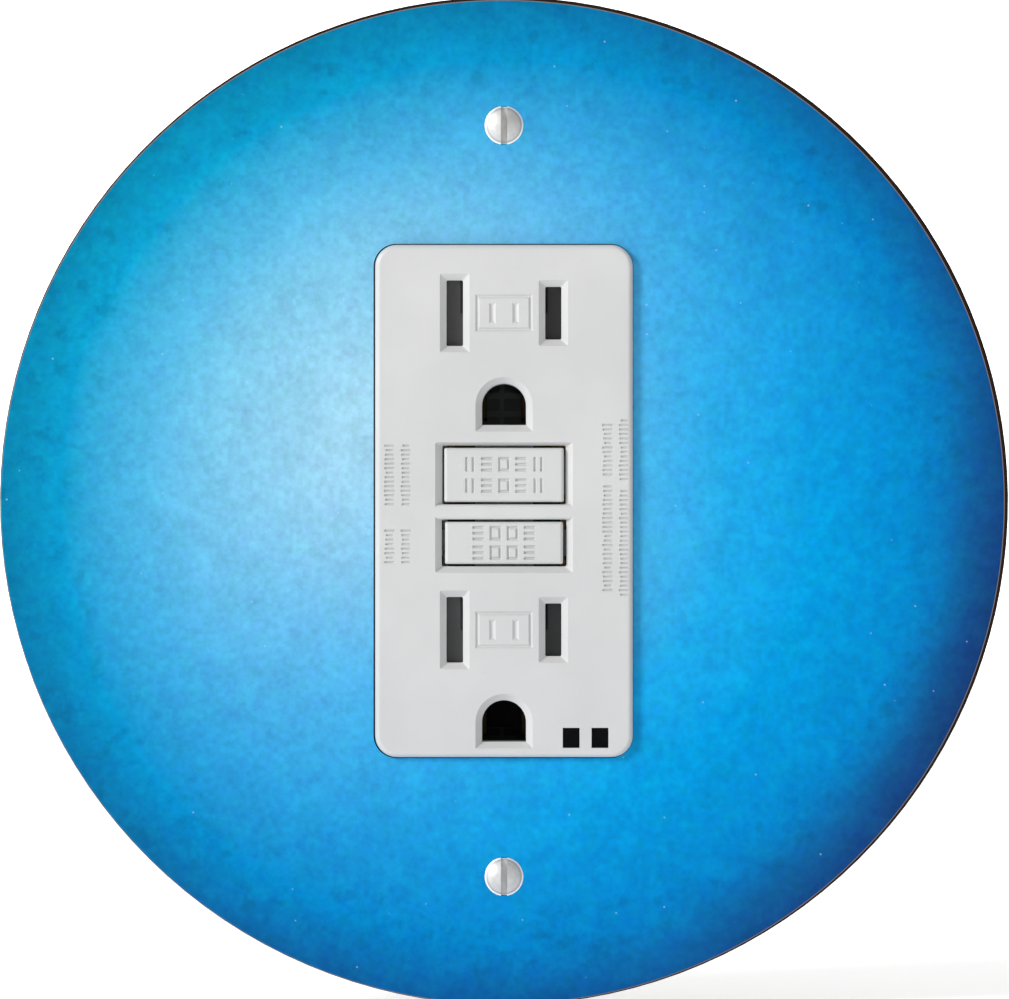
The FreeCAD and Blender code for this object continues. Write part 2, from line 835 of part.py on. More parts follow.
# ---------------------------------------------------------------- deck and contacts
def middle_deck():
    half_width = inner_half_width - deck_to_side
    half_height = inner_half_height - free_gap
    y = (deck_at, y_deck_back)
    deck = block((-half_width, half_width), y, (-half_height, half_height))
    ribs = []
    for z in outlet_heights.values():
        for side in (1, -1):
            near = leaf_inner - sheet - inner_rib_gap - inner_rib_wall
            far = leaf_outer + sheet + outer_rib_gap
            inner_span = (contact_mouth, deck_at)
            outer_span = (contact_depth + free_gap, deck_at)
            inner_rib = block((near, near + inner_rib_wall), inner_span, around(z, rib_height))
            outer_rib = block((far, far + outer_rib_wall), outer_span, around(z, rib_height))
            ribs += [on_side(inner_rib, side), on_side(outer_rib, side)]
    deck = joined([deck] + ribs)
    through = (0, 2 * deck_at)
    cuts = [rod("y", 0, reset_height_at, pin_radius + free_gap, through)]
    corner_x = boss_x - boss_radius - free_gap
    corner_z = boss_z - boss_radius - free_gap
    window_span = (reset_height_at - deck_window_below, reset_height_at + deck_window_above)
    for side in (1, -1):
        window = block((deck_bridge_width / 2, carriage_width / 2 + 2 * free_gap), through, window_span)
        cuts.append(on_side(window, side))
        for end in (1, -1):
            notch = sorted((end * corner_z, end * (half_height + 1)))
            cuts.append(on_side(block((corner_x, half_width + 1), through, notch), side))
    for z in outlet_heights.values():
        cuts.append(prism(ground_outline(free_gap, z - ground_drop, 0), 2 * deck_at))
    low, high = window_centres
    cuts.append(
        block(
            (low - window_width / 2 - free_gap, high + window_width / 2 + free_gap),
            through,
            (-half_height - 1, window_z + window_height / 2 + free_gap),
        )
    )
    return less(deck, cuts)


def contact_bus(side):
    """One brass strip with a leaf pair at each outlet, a fixed contact and an arm to the load terminal."""
    strip_depth = (bus_front, contact_depth)
    outer = (leaf_outer, leaf_outer + sheet)
    inner = (leaf_inner - sheet, leaf_inner)
    heights = sorted(outlet_heights.values())
    half = contact_leaf_height / 2
    pieces = [block(outer, strip_depth, (heights[0] - half, heights[1] + half + sheet))]
    for z in heights:
        pieces.append(block(outer, (contact_mouth, contact_depth), around(z, contact_leaf_height)))
        pieces.append(block(inner, (contact_mouth, contact_depth), around(z, contact_leaf_height)))
        pieces.append(block((inner[0], outer[1]), strip_depth, (z + half, z + half + sheet)))
    x, z = moving_contact_place()
    pad = (contact_depth - sheet, contact_depth)
    reach = contact_button_radius + slide_gap
    pieces.append(block((leaf_outer, x + reach), pad, around(z, 2 * reach)))
    pieces.append(rod("y", x, z, contact_button_radius, (contact_depth - sheet, deck_at)))
    arm = (contact_depth - load_arm_thickness, contact_depth)
    pieces.append(block((leaf_outer, terminal_inside), arm, around(heights[0], load_arm_width)))
    return on_side(joined(pieces), side)


def moving_contact_place():
    """Where the contacts close, beside the bus and above the reset pin."""
    return leaf_outer + sheet, reset_height_at + 2 * pin_radius


# ---------------------------------------------------------------- rear housing and terminals
def rear_housing():
    shell = plate_like(body_width, body_height, body_corner, (cover_depth, body_depth))
    inside = (cover_depth - 1, y_back_inside)
    cavity = plate_like(2 * inner_half_width, 2 * inner_half_height, inner_corner, inside)
    shell = shell.cut(cavity)
    keep = plate_like(body_width, body_height, body_corner, (cover_depth, body_depth))
    additions = []
    cuts = []
    for x in (boss_x, -boss_x):
        for z in (boss_z, -boss_z):
            additions.append(rod("y", x, z, boss_radius, (cover_depth, body_depth)).common(keep))
            cuts.append(rod("y", x, z, assembly_screw_radius + fit_gap, (0, body_depth + 1)))
            cuts.append(rod("y", x, z, assembly_head_radius + fit_gap, (assembly_head_front, body_depth + 1)))
    post_x = board_width / 2 - board_post_inset_x
    post_z = inner_half_height - board_post_inset_z
    for x in (post_x, -post_x):
        for z in (post_z, -post_z):
            additions.append(rod("y", x, z, board_post_radius, (y_board_back, y_back_inside + 1)))
    for side in (1, -1):
        for end in (1, -1):
            z = end * terminal_height_at
            for wall in (1, -1):
                place = around(z + wall * (terminal_plate_height / 2 + barrier_wall), barrier_wall)
                depth = (y_deck_back + 2 * free_gap, y_back_inside + 1)
                barrier = block((board_width / 2 + free_gap, inner_half_width + 1), depth, place)
                additions.append(on_side(barrier, side))
            window = block(
                (inner_half_width - 1, body_width),
                around(terminal_depth_at, terminal_plate_width - 1),
                around(z, terminal_plate_height - 1),
            )
            cuts.append(on_side(window, side))
            for offset in (wire_hole_offset, -wire_hole_offset):
                hole = rod("y", wire_x(), z + offset, wire_hole_radius, (y_back_inside - 1, body_depth + 1))
                cuts.append(on_side(hole, side))
    for end in (1, -1):
        tongue = sorted((end * (inner_half_height + slide_gap), end * body_height / 2))
        additions.append(block(around(0, strap_neck_width), (slide_gap, cover_depth + 1), tongue))
    return less(joined([shell] + additions), cuts)


def wire_x():
    return terminal_inside - (clamp_travel + clamp_closed_gap) / 2


def terminal_strap(side, end, load):
    """The brass plate under a terminal screw, with a leg to the bus or a foot to the board."""
    x = (terminal_inside, terminal_inside + terminal_plate)
    z = end * terminal_height_at
    half = terminal_plate_width / 2
    plate = block(x, around(terminal_depth_at, terminal_plate_width), around(z, terminal_plate_height))
    pieces = [plate]
    if load:
        leg_end = min(outlet_heights.values())
        leg = (contact_depth - load_arm_thickness, terminal_depth_at)
        pieces.append(block(x, leg, around(leg_end, load_arm_width)))
    else:
        foot = (terminal_depth_at + half - slide_gap, y_board)
        pieces.append(block((board_width / 2 - lead_length, x[1]), foot, around(z, board_foot_width)))
    hole = rod("x", terminal_depth_at, z, terminal_screw_radius + fit_gap, (0, body_width))
    return on_side(joined(pieces).cut(hole), side)


def terminal_screw(side, end):
    z = end * terminal_height_at
    y = terminal_depth_at
    under_head = terminal_inside + terminal_plate + fit_gap
    top = under_head + terminal_head_height
    head = rod("x", y, z, terminal_head_radius, (under_head, top))
    head = head.makeFillet(terminal_head_round, [e for e in head.Edges if e.BoundBox.XMin > top - fit_gap])
    shank = rod("x", y, z, terminal_screw_radius, (under_head - terminal_screw_length, under_head))
    depth = (top - head_slot_depth, top + 1)
    groove = block(depth, around(y, head_slot_width), around(z, beyond))
    cross = block(depth, around(y, head_cross_length), around(z, head_slot_width))
    return on_side(less(joined([head, shank]), [groove, cross]), side)


def clamp_plate(side, end):
    """A threaded plate that the screw draws outwards, to grip the wires behind the strap."""
    z = end * terminal_height_at
    face = clamp_at + clamp_thickness
    plate = block((clamp_at, face), around(terminal_depth_at, clamp_width), around(z, clamp_height))
    cuts = [rod("x", terminal_depth_at, z, terminal_screw_radius + fit_gap, (0, body_width))]
    for offset in (wire_hole_offset, -wire_hole_offset):
        cuts.append(rod("y", face + clamp_groove / 2, z + offset, clamp_groove, (0, body_depth)))
    return on_side(less(plate, cuts), side)


def assembly_screw(x, z):
    top = assembly_head_front + assembly_head_height
    head = rod("y", x, z, assembly_head_radius, (assembly_head_front, top))
    shank_start = y_lip + lip_wall + boss_floor + free_gap
    shank = rod("y", x, z, assembly_screw_radius, (shank_start, assembly_head_front))
    slot_width, slot_depth = assembly_slot
    groove = block(around(x, slot_width), (top - slot_depth, top + 1), around(z, beyond))
    return joined([head, shank]).cut(groove)


# ---------------------------------------------------------------- circuit board
def circuit_board():
    half = inner_half_height - board_end_gap
    board = block(around(0, board_width), (y_board, y_board_back), (-half, half))
    return board.cut(rod("y", 0, reset_height_at, pin_radius + free_gap, (0, body_depth)))


def leads(places, start):
    """Straight wire leads that stand on the board, at each x, z."""
    return [rod("y", x, z, lead_radius, (start, y_board)) for x, z in places]


def surge_varistor():
    """A coated disc that stands on edge beside the solenoid."""
    z = bobbin_low + varistor_above_bobbin
    middle = y_board - lead_length - varistor_radius
    disc = rod("x", middle, z, varistor_radius, (-varistor_inside - varistor_thickness, -varistor_inside))
    disc = disc.makeFillet(varistor_round, [e for e in disc.Edges if e.BoundBox.XLength < fit_gap])
    x = -varistor_inside - varistor_thickness / 2
    spread = varistor_lead_pitch / 2
    return joined([disc] + leads([(x, z - spread), (x, z + spread)], middle + lead_length))


def filter_capacitor():
    width, depth, height = capacitor_size
    z = bobbin_low + capacitor_above_bobbin
    x = capacitor_inside + width / 2
    body = block(around(x, width), (y_board - lead_length - depth, y_board - lead_length), around(z, height))
    spread = capacitor_lead_pitch / 2
    return joined([body] + leads([(x, z - spread), (x, z + spread)], y_board - 2 * lead_length))


def silicon_switch():
    """A half-round transistor case on three leads, in the corner above the current sensor."""
    x = -(board_width / 2 - switch_radius - free_gap)
    z = boss_z - boss_radius - switch_radius + slide_gap
    body_end = y_board - 2 * lead_length
    body = rod("y", x, z, switch_radius, (body_end - switch_length, body_end))
    flat = block((x + switch_flat_at, x + beyond), (0, y_board), around(z, beyond))
    spread = switch_radius / 2
    return joined([body.cut(flat)] + leads([(x, z - spread), (x, z), (x, z + spread)], body_end - 1))


def diodes():
    group = []
    middle = boss_z - boss_radius - diode_length / 2
    y = y_board - diode_radius - free_gap
    for x in diode_places:
        body = rod("z", x, y, diode_radius, around(middle, diode_length))
        bend = diode_length / 2 + lead_length
        wire = rod("z", x, y, diode_wire, (middle - bend, middle + bend))
        feet = [rod("y", x, middle + end * bend, diode_wire, (y, y_board)) for end in (1, -1)]
        group.append(joined([body, wire] + feet))
    return group


def sensing_chip():
    """The control chip, on the board's back."""
    width, depth, height = chip_size
    z = -inner_half_height / 4
    body_front = y_board_back + chip_leg_thickness / 2
    body = block(around(0, width), (body_front, body_front + depth), around(z, height))
    legs = []
    leg_depth = (y_board_back, y_board_back + chip_leg_thickness)
    for i in range(4):
        row = z + chip_pitch * (i - 1.5)
        legs.append(block(around(0, chip_leg_span), leg_depth, around(row, chip_leg_width)))
    return joined([body] + legs)


# ---------------------------------------------------------------- current sensor
def transformer_housing():
    """Two back-to-back ring cups, one for each core, round a middle tube for the conductors."""
    middle = sum(core_span) / 2
    body = tube("y", 0, core_height_at, core_radius, core_tube_radius, core_span)
    cups = []
    for span in ((core_span[0], middle - core_divider / 2), (middle + core_divider / 2, core_span[1])):
        inner = core_tube_radius + core_cup_wall
        cups.append(tube("y", 0, core_height_at, core_radius - core_cup_wall, inner, span))
    return less(body, cups)


def sensor_core(front):
    """One iron ring, loose in its cup."""
    middle = sum(core_span) / 2
    inset = core_divider / 2 + core_gap
    if front:
        span = (core_span[0] + free_gap, middle - inset)
    else:
        span = (middle + inset, core_span[1] - free_gap)
    outer = core_radius - core_cup_wall - core_gap
    ring = tube("y", 0, core_height_at, outer, core_tube_radius + core_cup_wall + core_gap, span)
    return ring.makeFillet(core_round, [e for e in ring.Edges if e.Curve.TypeId == "Part::GeomCircle"])


def line_conductors():
    """Two copper rods that carry the load's current through both cores to the board."""
    span = (y_deck_back + slide_gap, y_board)
    return [rod("y", x, core_height_at, conductor_radius, span) for x in around(0, conductor_pitch)]


# ---------------------------------------------------------------- solenoid, latch and carriage
def solenoid_frame():
    """A bent steel bracket that holds the bobbin and guides the plunger."""
    half = solenoid_size / 2
    front = solenoid_depth_at - half
    depth = (front - frame_wall, front + solenoid_size)
    whole = (bobbin_low - frame_wall, bobbin_high + frame_wall)
    pieces = [
        block((-half, half), depth, (whole[0], bobbin_low)),
        block((-half, half), depth, (bobbin_high, whole[1])),
        block((-half, half), (front - frame_wall, front), whole),
    ]
    guide = rod("z", 0, solenoid_depth_at, plunger_radius + bore_gap, (bobbin_high - 1, bobbin_high + 2))
    return joined(pieces).cut(guide)


def solenoid_bobbin():
    half = solenoid_size / 2
    bore = plunger_radius + bore_gap
    flanges = []
    for span in ((bobbin_low, bobbin_low + bobbin_flange), (bobbin_high - bobbin_flange, bobbin_high)):
        flanges.append(block((-half, half), (solenoid_depth_at - half, solenoid_depth_at + half), span))
    core = rod("z", 0, solenoid_depth_at, bore + bobbin_wall, (bobbin_low, bobbin_high))
    return joined(flanges + [core]).cut(rod("z", 0, solenoid_depth_at, bore, (bobbin_low, bobbin_high)))


def solenoid_coil():
    """The winding, as one solid between the bobbin's flanges."""
    inner = plunger_radius + bore_gap + bobbin_wall + fit_gap
    ends = bobbin_flange + fit_gap
    span = (bobbin_low + ends, bobbin_high - ends)
    return tube("z", 0, solenoid_depth_at, solenoid_size / 2 - free_gap, inner, span)


def plunger_levels():
    """Heights of the plunger's tail, collar, neck, head and end."""
    collar = bobbin_high + frame_wall + plunger_spring_closed + plunger_stroke
    neck = collar + plunger_rim
    head = neck + plunger_neck_length
    return bobbin_low + plunger_stroke + plunger_tail_gap, collar, neck, head, head + plunger_rim


def solenoid_plunger():
    tail, collar, neck, head, end = plunger_levels()
    y = solenoid_depth_at
    return joined([
        rod("z", 0, y, plunger_radius, (tail, collar)),
        rod("z", 0, y, plunger_collar_radius, (collar, neck)),
        rod("z", 0, y, plunger_neck_radius, (neck, head)),
        rod("z", 0, y, plunger_head_radius, (head, end)),
    ])


def plunger_spring():
    span = (bobbin_high + frame_wall + fit_gap, plunger_levels()[1] - fit_gap)
    return coil_sleeve("z", 0, solenoid_depth_at, plunger_spring_radius, plunger_spring_wire, span)


def latch():
    """A flat steel slide with a bent tab hooked on the plunger's neck and a slot round the reset pin."""
    neck, head = plunger_levels()[2:4]
    tab = around((neck + head) / 2, latch_thickness)
    y = (latch_at, latch_at + latch_thickness)
    top = reset_height_at + latch_above_pin
    width = (-latch_width / 2, latch_width / 2)
    plate = block(width, y, (tab[0], top))
    hook = block(width, (solenoid_depth_at - latch_hook, y[1]), tab)
    neck_gap = plunger_neck_radius + latch_neck_gap
    neck_slot = block((-neck_gap, neck_gap), (0, solenoid_depth_at + neck_gap), (tab[0] - 1, tab[1] + 1))
    pin_gap = pin_radius + free_gap
    pin_span = (reset_height_at - pin_gap, reset_height_at + pin_gap + plunger_stroke)
    pin_slot = block((-pin_gap, pin_gap), (0, body_depth), pin_span)
    return less(joined([plate, hook]), [neck_slot, pin_slot])


def contact_carriage():
    """The moulded block that carries both moving contacts and is drawn forward by the reset pin."""
    span = around(reset_height_at, carriage_height)
    body = block(around(0, carriage_width), (carriage_front, carriage_front + carriage_depth), span)
    cuts = [rod("y", 0, reset_height_at, pin_radius + carriage_bore_gap, (0, body_depth))]
    for side in (1, -1):
        depth = (carriage_front + carriage_front_wall, carriage_front + carriage_depth)
        width = (carriage_relief_at, carriage_width / 2 - carriage_side_wall)
        relief = block(width, depth, around(reset_height_at, carriage_height - 4 * carriage_side_wall))
        cuts.append(on_side(relief, side))
    return less(body, cuts)


def moving_contact(side):
    x, z = moving_contact_place()
    front = deck_at + contact_gap
    arm_span = (z - contact_arm_below, z + contact_arm_above)
    arm = block(around(x, contact_arm_width), (carriage_front - sheet, carriage_front), arm_span)
    button = rod("y", x, z, contact_button_radius, (front, carriage_front - sheet / 2))
    return on_side(joined([arm, button]), side)


def test_contact_blade():
    """A springy strip under the test button's leg, standing on the deck."""
    front = contact_depth + test_blade_gap
    low = test_height_at - test_blade_below
    width = around(0, test_blade_width)
    strip = block(width, (front, front + test_blade_thickness), (low, test_height_at + test_blade_above))
    foot = block(width, (front, deck_at), (low, low + test_blade_foot))
    return joined([strip, foot])


# ---------------------------------------------------------------- every piece
save("wall_plate", wall_plate())
save("plate_screws", *[plate_screw(z) for z in (plate_screw_at, -plate_screw_at)])
save("front_cover", front_cover())
save("reset_button", reset_button())
save("reset_pin", reset_pin())
save("reset_spring", reset_spring())
save("test_button", test_button())
save("test_spring", test_spring())
save("test_contact_blade", test_contact_blade())
save("status_light_pipe", status_light_pipe())
save("status_leds", *status_leds())
for outlet, z in outlet_heights.items():
    save("shutter_tray_" + outlet, shutter_tray(z))
    save("shutter_" + outlet + "_hot", shutter(z, 1))
    save("shutter_" + outlet + "_neutral", shutter(z, -1))
    save("shutter_spring_" + outlet, shutter_spring(z))
save("mounting_strap", mounting_strap())
save("ground_contacts", *[ground_contact(z - ground_drop) for z in outlet_heights.values()])
save("ground_screw", ground_screw())
save("box_mounting_screws", *[box_mounting_screw(z) for z in (box_screw_at, -box_screw_at)])
save("middle_deck", middle_deck())
save("hot_bus", contact_bus(1))
save("neutral_bus", contact_bus(-1))
save("rear_housing", rear_housing())
save("assembly_screws", *[assembly_screw(x, z) for x in (boss_x, -boss_x) for z in (boss_z, -boss_z)])
for pole, side in (("hot", 1), ("neutral", -1)):
    for circuit, end in (("line", 1), ("load", -1)):
        name = circuit + "_" + pole
        save("terminal_strap_" + name, terminal_strap(side, end, circuit == "load"))
        save("terminal_screw_" + name, terminal_screw(side, end))
        save("clamp_plate_" + name, clamp_plate(side, end))
save("circuit_board", circuit_board())
save("surge_varistor", surge_varistor())
save("filter_capacitor", filter_capacitor())
save("silicon_switch", silicon_switch())
save("diodes", *diodes())
save("sensing_chip", sensing_chip())
save("transformer_housing", transformer_housing())
save("ground_fault_core", sensor_core(True))
save("grounded_neutral_core", sensor_core(False))
save("line_conductors", *line_conductors())
save("solenoid_frame", solenoid_frame())
save("solenoid_bobbin", solenoid_bobbin())
save("solenoid_coil", solenoid_coil())
save("solenoid_plunger", solenoid_plunger())
save("plunger_spring", plunger_spring())
save("latch", latch())
save("contact_carriage", contact_carriage())
save("moving_contacts", moving_contact(1), moving_contact(-1))
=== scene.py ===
import math

import bmesh
import bpy
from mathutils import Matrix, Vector


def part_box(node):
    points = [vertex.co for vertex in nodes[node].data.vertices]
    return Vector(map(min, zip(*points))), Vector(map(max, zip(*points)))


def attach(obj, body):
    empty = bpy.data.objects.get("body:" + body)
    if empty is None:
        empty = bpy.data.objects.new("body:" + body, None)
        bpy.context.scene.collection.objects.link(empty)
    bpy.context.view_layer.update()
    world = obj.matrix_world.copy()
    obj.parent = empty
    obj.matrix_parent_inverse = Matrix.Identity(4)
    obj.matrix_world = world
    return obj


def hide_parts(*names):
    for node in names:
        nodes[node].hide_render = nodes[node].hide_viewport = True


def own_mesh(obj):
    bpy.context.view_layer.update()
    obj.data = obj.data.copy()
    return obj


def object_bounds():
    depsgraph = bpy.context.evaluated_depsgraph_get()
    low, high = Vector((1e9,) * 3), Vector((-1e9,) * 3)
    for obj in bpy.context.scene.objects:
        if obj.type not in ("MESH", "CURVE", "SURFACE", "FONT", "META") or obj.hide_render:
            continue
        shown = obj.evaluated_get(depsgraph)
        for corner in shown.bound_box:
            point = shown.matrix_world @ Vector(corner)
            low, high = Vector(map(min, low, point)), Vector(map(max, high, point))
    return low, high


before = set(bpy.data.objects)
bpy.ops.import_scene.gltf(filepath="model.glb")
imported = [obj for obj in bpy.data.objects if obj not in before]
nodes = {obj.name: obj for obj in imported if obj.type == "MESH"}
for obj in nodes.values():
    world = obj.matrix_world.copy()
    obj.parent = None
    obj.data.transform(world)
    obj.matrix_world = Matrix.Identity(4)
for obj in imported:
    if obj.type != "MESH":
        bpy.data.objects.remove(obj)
cad_box = [list(corner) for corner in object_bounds()]
mm = 0.001


# ------------------------------------------------------------------ room, lights and camera
# The outlet stands on its plate's edge on a pale floor, in front of a white panel. One soft lamp
# stands high on the left, a weak one on the right opens the shadows and one behind lights the back.
def studio_paint(name, grey, glow, roughness=0.5):
    material = bpy.data.materials.new(name)
    material.use_nodes = True
    sockets = material.node_tree.nodes["Principled BSDF"].inputs
    sockets["Base Color"].default_value = (grey, grey, grey, 1)
    sockets["Roughness"].default_value = roughness
    sockets["Emission Color"].default_value = (1, 1, 1, 1)
    sockets["Emission Strength"].default_value = glow
    return material


def flat_panel(name, corners, material):
    mesh = bpy.data.meshes.new(name)
    mesh.from_pydata(corners, [], [(0, 1, 2, 3)])
    mesh.materials.append(material)
    panel = bpy.data.objects.new(name, mesh)
    bpy.context.scene.collection.objects.link(panel)


def soft_lamp(name, place, aim, size, power):
    lamp = bpy.data.lights.new(name, "AREA")
    lamp.shape = "DISK"
    lamp.size = size
    lamp.energy = power
    holder = bpy.data.objects.new(name, lamp)
    holder.location = place
    holder.rotation_euler = (Vector(aim) - Vector(place)).to_track_quat("-Z", "Y").to_euler()
    bpy.context.scene.collection.objects.link(holder)


floor_level = cad_box[0][2] - 0.2 * mm
floor_reach = 3.0
floor_corners = [
    (x * floor_reach, y * floor_reach, floor_level) for x, y in ((-1, -1), (1, -1), (1, 1), (-1, 1))
]
flat_panel("studio_floor", floor_corners, studio_paint("studio_floor", 0.85, 0.46, roughness=0.9))
panel_reach = 1.2
panel_distance = 1.8
panel_top = 1.2
panel_corners = [
    (-panel_reach, panel_distance, floor_level),
    (panel_reach, panel_distance, floor_level),
    (panel_reach, panel_distance, panel_top),
    (-panel_reach, panel_distance, panel_top),
]
flat_panel("white_panel", panel_corners, studio_paint("white_panel", 1.0, 1.05))

room = bpy.data.worlds.new("studio_air")
bpy.context.scene.world = room
room.use_nodes = True
air = room.node_tree.nodes["Background"].inputs
air["Color"].default_value = (1, 1, 1, 1)
air["Strength"].default_value = 0.33
soft_lamp("key_lamp", place=(-0.83, -0.60, 0.42), aim=(0, 0, 0), size=0.34, power=9.7)
soft_lamp("fill_lamp", place=(0.5, -1.0, 0.5), aim=(0, 0, 0), size=0.6, power=0.5)
soft_lamp("back_lamp", place=(0.6, 0.9, 0.7), aim=(0, 0.02, 0), size=0.5, power=3.0)

bpy.context.scene.view_settings.view_transform = "Standard"
lens = bpy.data.cameras.new("camera")
lens.lens = 250.0
lens.clip_start = 0.01
camera = bpy.data.objects.new("camera", lens)
view_width = 130.06 * mm
view_x, view_z = 0.06 * mm, 0.19 * mm
face_proud = 1.2 * mm
plate_front = cad_box[0][1] + face_proud
camera.location = (view_x, plate_front - view_width * lens.lens / lens.sensor_width, view_z)
camera.rotation_euler = (math.radians(90), 0, 0)
bpy.context.scene.collection.objects.link(camera)
bpy.context.scene.camera = camera


# ------------------------------------------------------------------ circuit board
# A glass-fibre board with green solder mask over copper tracks, and one round hole that the reset pin
# goes through. The mask shows its tracks as slightly raised, glossier lines.
class Wired:
    """A socket of a material, on which sums can be written."""

    def __init__(self, finish, socket):
        self.finish = finish
        self.socket = socket

    def math(self, operation, *others):
        return self.finish.add("Math", {"operation": operation}, dict(enumerate((self, *others))))

    def __add__(self, other):
        return self.math("ADD", other)

    def __sub__(self, other):
        return self.math("SUBTRACT", other)

    def __rsub__(self, other):
        return self.finish.add("Math", {"operation": "SUBTRACT"}, {0: other, 1: self})

    def __mul__(self, other):
        return self.math("MULTIPLY", other)

    __radd__ = __add__
    __rmul__ = __mul__

    def __truediv__(self, other):
        return self.math("DIVIDE", other)

    def __pow__(self, other):
        return self.math("POWER", other)

    def at_least(self, other):
        return self.math("MAXIMUM", other)

    def at_most(self, other):
        return self.math("MINIMUM", other)

    def step(self, low, high):
        """0 below low, 1 above high and a soft change between them."""
        limits = {"Value": self, "From Min": low, "From Max": high}
        return self.finish.add("MapRange", {"interpolation_type": "SMOOTHSTEP"}, limits)


class Finish:
    """A material, built from the look of its surface."""

    def __init__(self, name, metallic=0.0, coat=0.0):
        self.material = bpy.data.materials.new(name)
        self.material.use_nodes = True
        self.tree = self.material.node_tree
        self.shader = self.tree.nodes["Principled BSDF"]
        self.shader.inputs["Metallic"].default_value = metallic
        self.shader.inputs["Coat Weight"].default_value = coat
        self.place = self.add("TexCoord", {}, {}, "Object")

    def node(self, kind, settings, inputs):
        node = self.tree.nodes.new("ShaderNode" + kind)
        for key, value in settings.items():
            if key == "stops":
                self.set_ramp(node.color_ramp, value)
            else:
                setattr(node, key, value)
        for key, value in inputs.items():
            if isinstance(value, Wired):
                self.tree.links.new(value.socket, node.inputs[key])
            else:
                node.inputs[key].default_value = value
        return node

    def add(self, kind, settings, inputs, output=0):
        return Wired(self, self.node(kind, settings, inputs).outputs[output])

    def set_ramp(self, ramp, stops):
        while len(ramp.elements) < len(stops):
            ramp.elements.new(0.5)
        for element, (place, colour) in zip(ramp.elements, stops):
            element.position = place
            element.color = tuple(colour) + (1.0,)

    def blend(self, share, first, second):
        """One colour turning into another as share goes from 0 to 1."""
        factor, first_colour, second_colour, mixed_colour = 0, 6, 7, 2
        colours = {factor: share, first_colour: self.colour(first), second_colour: self.colour(second)}
        return self.add("Mix", {"data_type": "RGBA"}, colours, mixed_colour)

    def colour(self, value):
        return value if isinstance(value, Wired) else tuple(value) + (1.0,)

    def moved(self, place=(0, 0, 0), turn=(0, 0, 0), scale=(1, 1, 1)):
        settings = {"Vector": self.place, "Location": place, "Rotation": turn, "Scale": scale}
        return self.add("Mapping", {}, settings)

    def noise(self, size, detail=2.0, place=None):
        """Cloudy variation from 0 to 1, with patches of about the given size."""
        settings = {"Vector": place or self.place, "Scale": 1 / size, "Detail": detail}
        return self.add("TexNoise", {}, settings)

    def cells(self, size):
        """The distance to the middle of the nearest of many cells of about the given size."""
        return self.add("TexVoronoi", {}, {"Vector": self.place, "Scale": 1 / size})

    def parts(self, place=None):
        """The X, Y and Z of a point."""
        split = self.node("SeparateXYZ", {}, {0: place or self.place})
        return [Wired(self, output) for output in split.outputs]

    def set(self, socket, value):
        if isinstance(value, Wired):
            self.tree.links.new(value.socket, self.shader.inputs[socket])
        else:
            self.shader.inputs[socket].default_value = value

    def relief(self, height, depth):
        """Raises the surface by height, of which 1 is as deep as depth."""
        settings = {"Height": height, "Distance": depth, "Strength": 1.0}
        self.set("Normal", self.add("Bump", {}, settings))


def give(material, *names):
    """Puts one material on CAD nodes."""
    for name in names:
        for holder in nodes[name].material_slots:
            holder.material = material


def solder_mask():
    look = Finish("solder_mask", coat=0.35)
    x, _, z = look.parts()
    lane_pitch, cross_pitch = 2.4 * mm, 3.1 * mm
    lanes = (z / lane_pitch).math("FRACT")
    across = (x / cross_pitch).math("FRACT")
    track = 1 - (1 - lanes.step(0.62, 0.66)) * (1 - across.step(0.78, 0.82))
    cloud = look.noise(1.5 * mm, 4)
    plain = look.blend(cloud, (0.012, 0.115, 0.05), (0.02, 0.16, 0.07))
    look.set("Base Color", look.blend(track * 0.8, plain, (0.035, 0.24, 0.10)))
    look.set("Roughness", 0.42 - track * 0.12)
    look.relief(track, 0.03 * mm)
    return look.material


give(solder_mask(), "circuit_board")


# ------------------------------------------------------------------ parts soldered on the board
# A disc varistor dipped in blue resin, a moulded film capacitor, a silicon switch, two diodes, the
# sensing chip and two green lamps. Dipped parts are glossy and lumpy, moulded ones are satin.
def dipped_resin(name, dark, light):
    look = Finish(name, coat=0.5)
    cloud = look.noise(1.1 * mm, 3)
    look.set("Base Color", look.blend(cloud, dark, light))
    look.set("Roughness", 0.22 + cloud * 0.15)
    look.relief(cloud, 0.08 * mm)
    return look.material


def moulded_epoxy(name, dark, light):
    look = Finish(name)
    grain = look.noise(0.12 * mm, 3)
    look.set("Base Color", look.blend(look.noise(0.9 * mm, 3), dark, light))
    look.set("Roughness", 0.42 + grain * 0.2)
    look.relief(grain, 0.01 * mm)
    return look.material


def tinted_resin():
    look = Finish("lamp_resin", coat=0.3)
    haze = look.noise(0.5 * mm, 2)
    look.set("Base Color", look.blend(haze, (0.12, 0.38, 0.14), (0.2, 0.55, 0.22)))
    look.set("Roughness", 0.1 + haze * 0.1)
    return look.material


give(dipped_resin("varistor_dip", (0.02, 0.06, 0.28), (0.04, 0.11, 0.42)), "surge_varistor")
give(dipped_resin("capacitor_case", (0.5, 0.3, 0.03), (0.66, 0.42, 0.06)), "filter_capacitor")
black_epoxy = moulded_epoxy("chip_case", (0.012, 0.012, 0.013), (0.03, 0.03, 0.03))
give(black_epoxy, "silicon_switch", "diodes", "sensing_chip")
give(tinted_resin(), "status_leds")


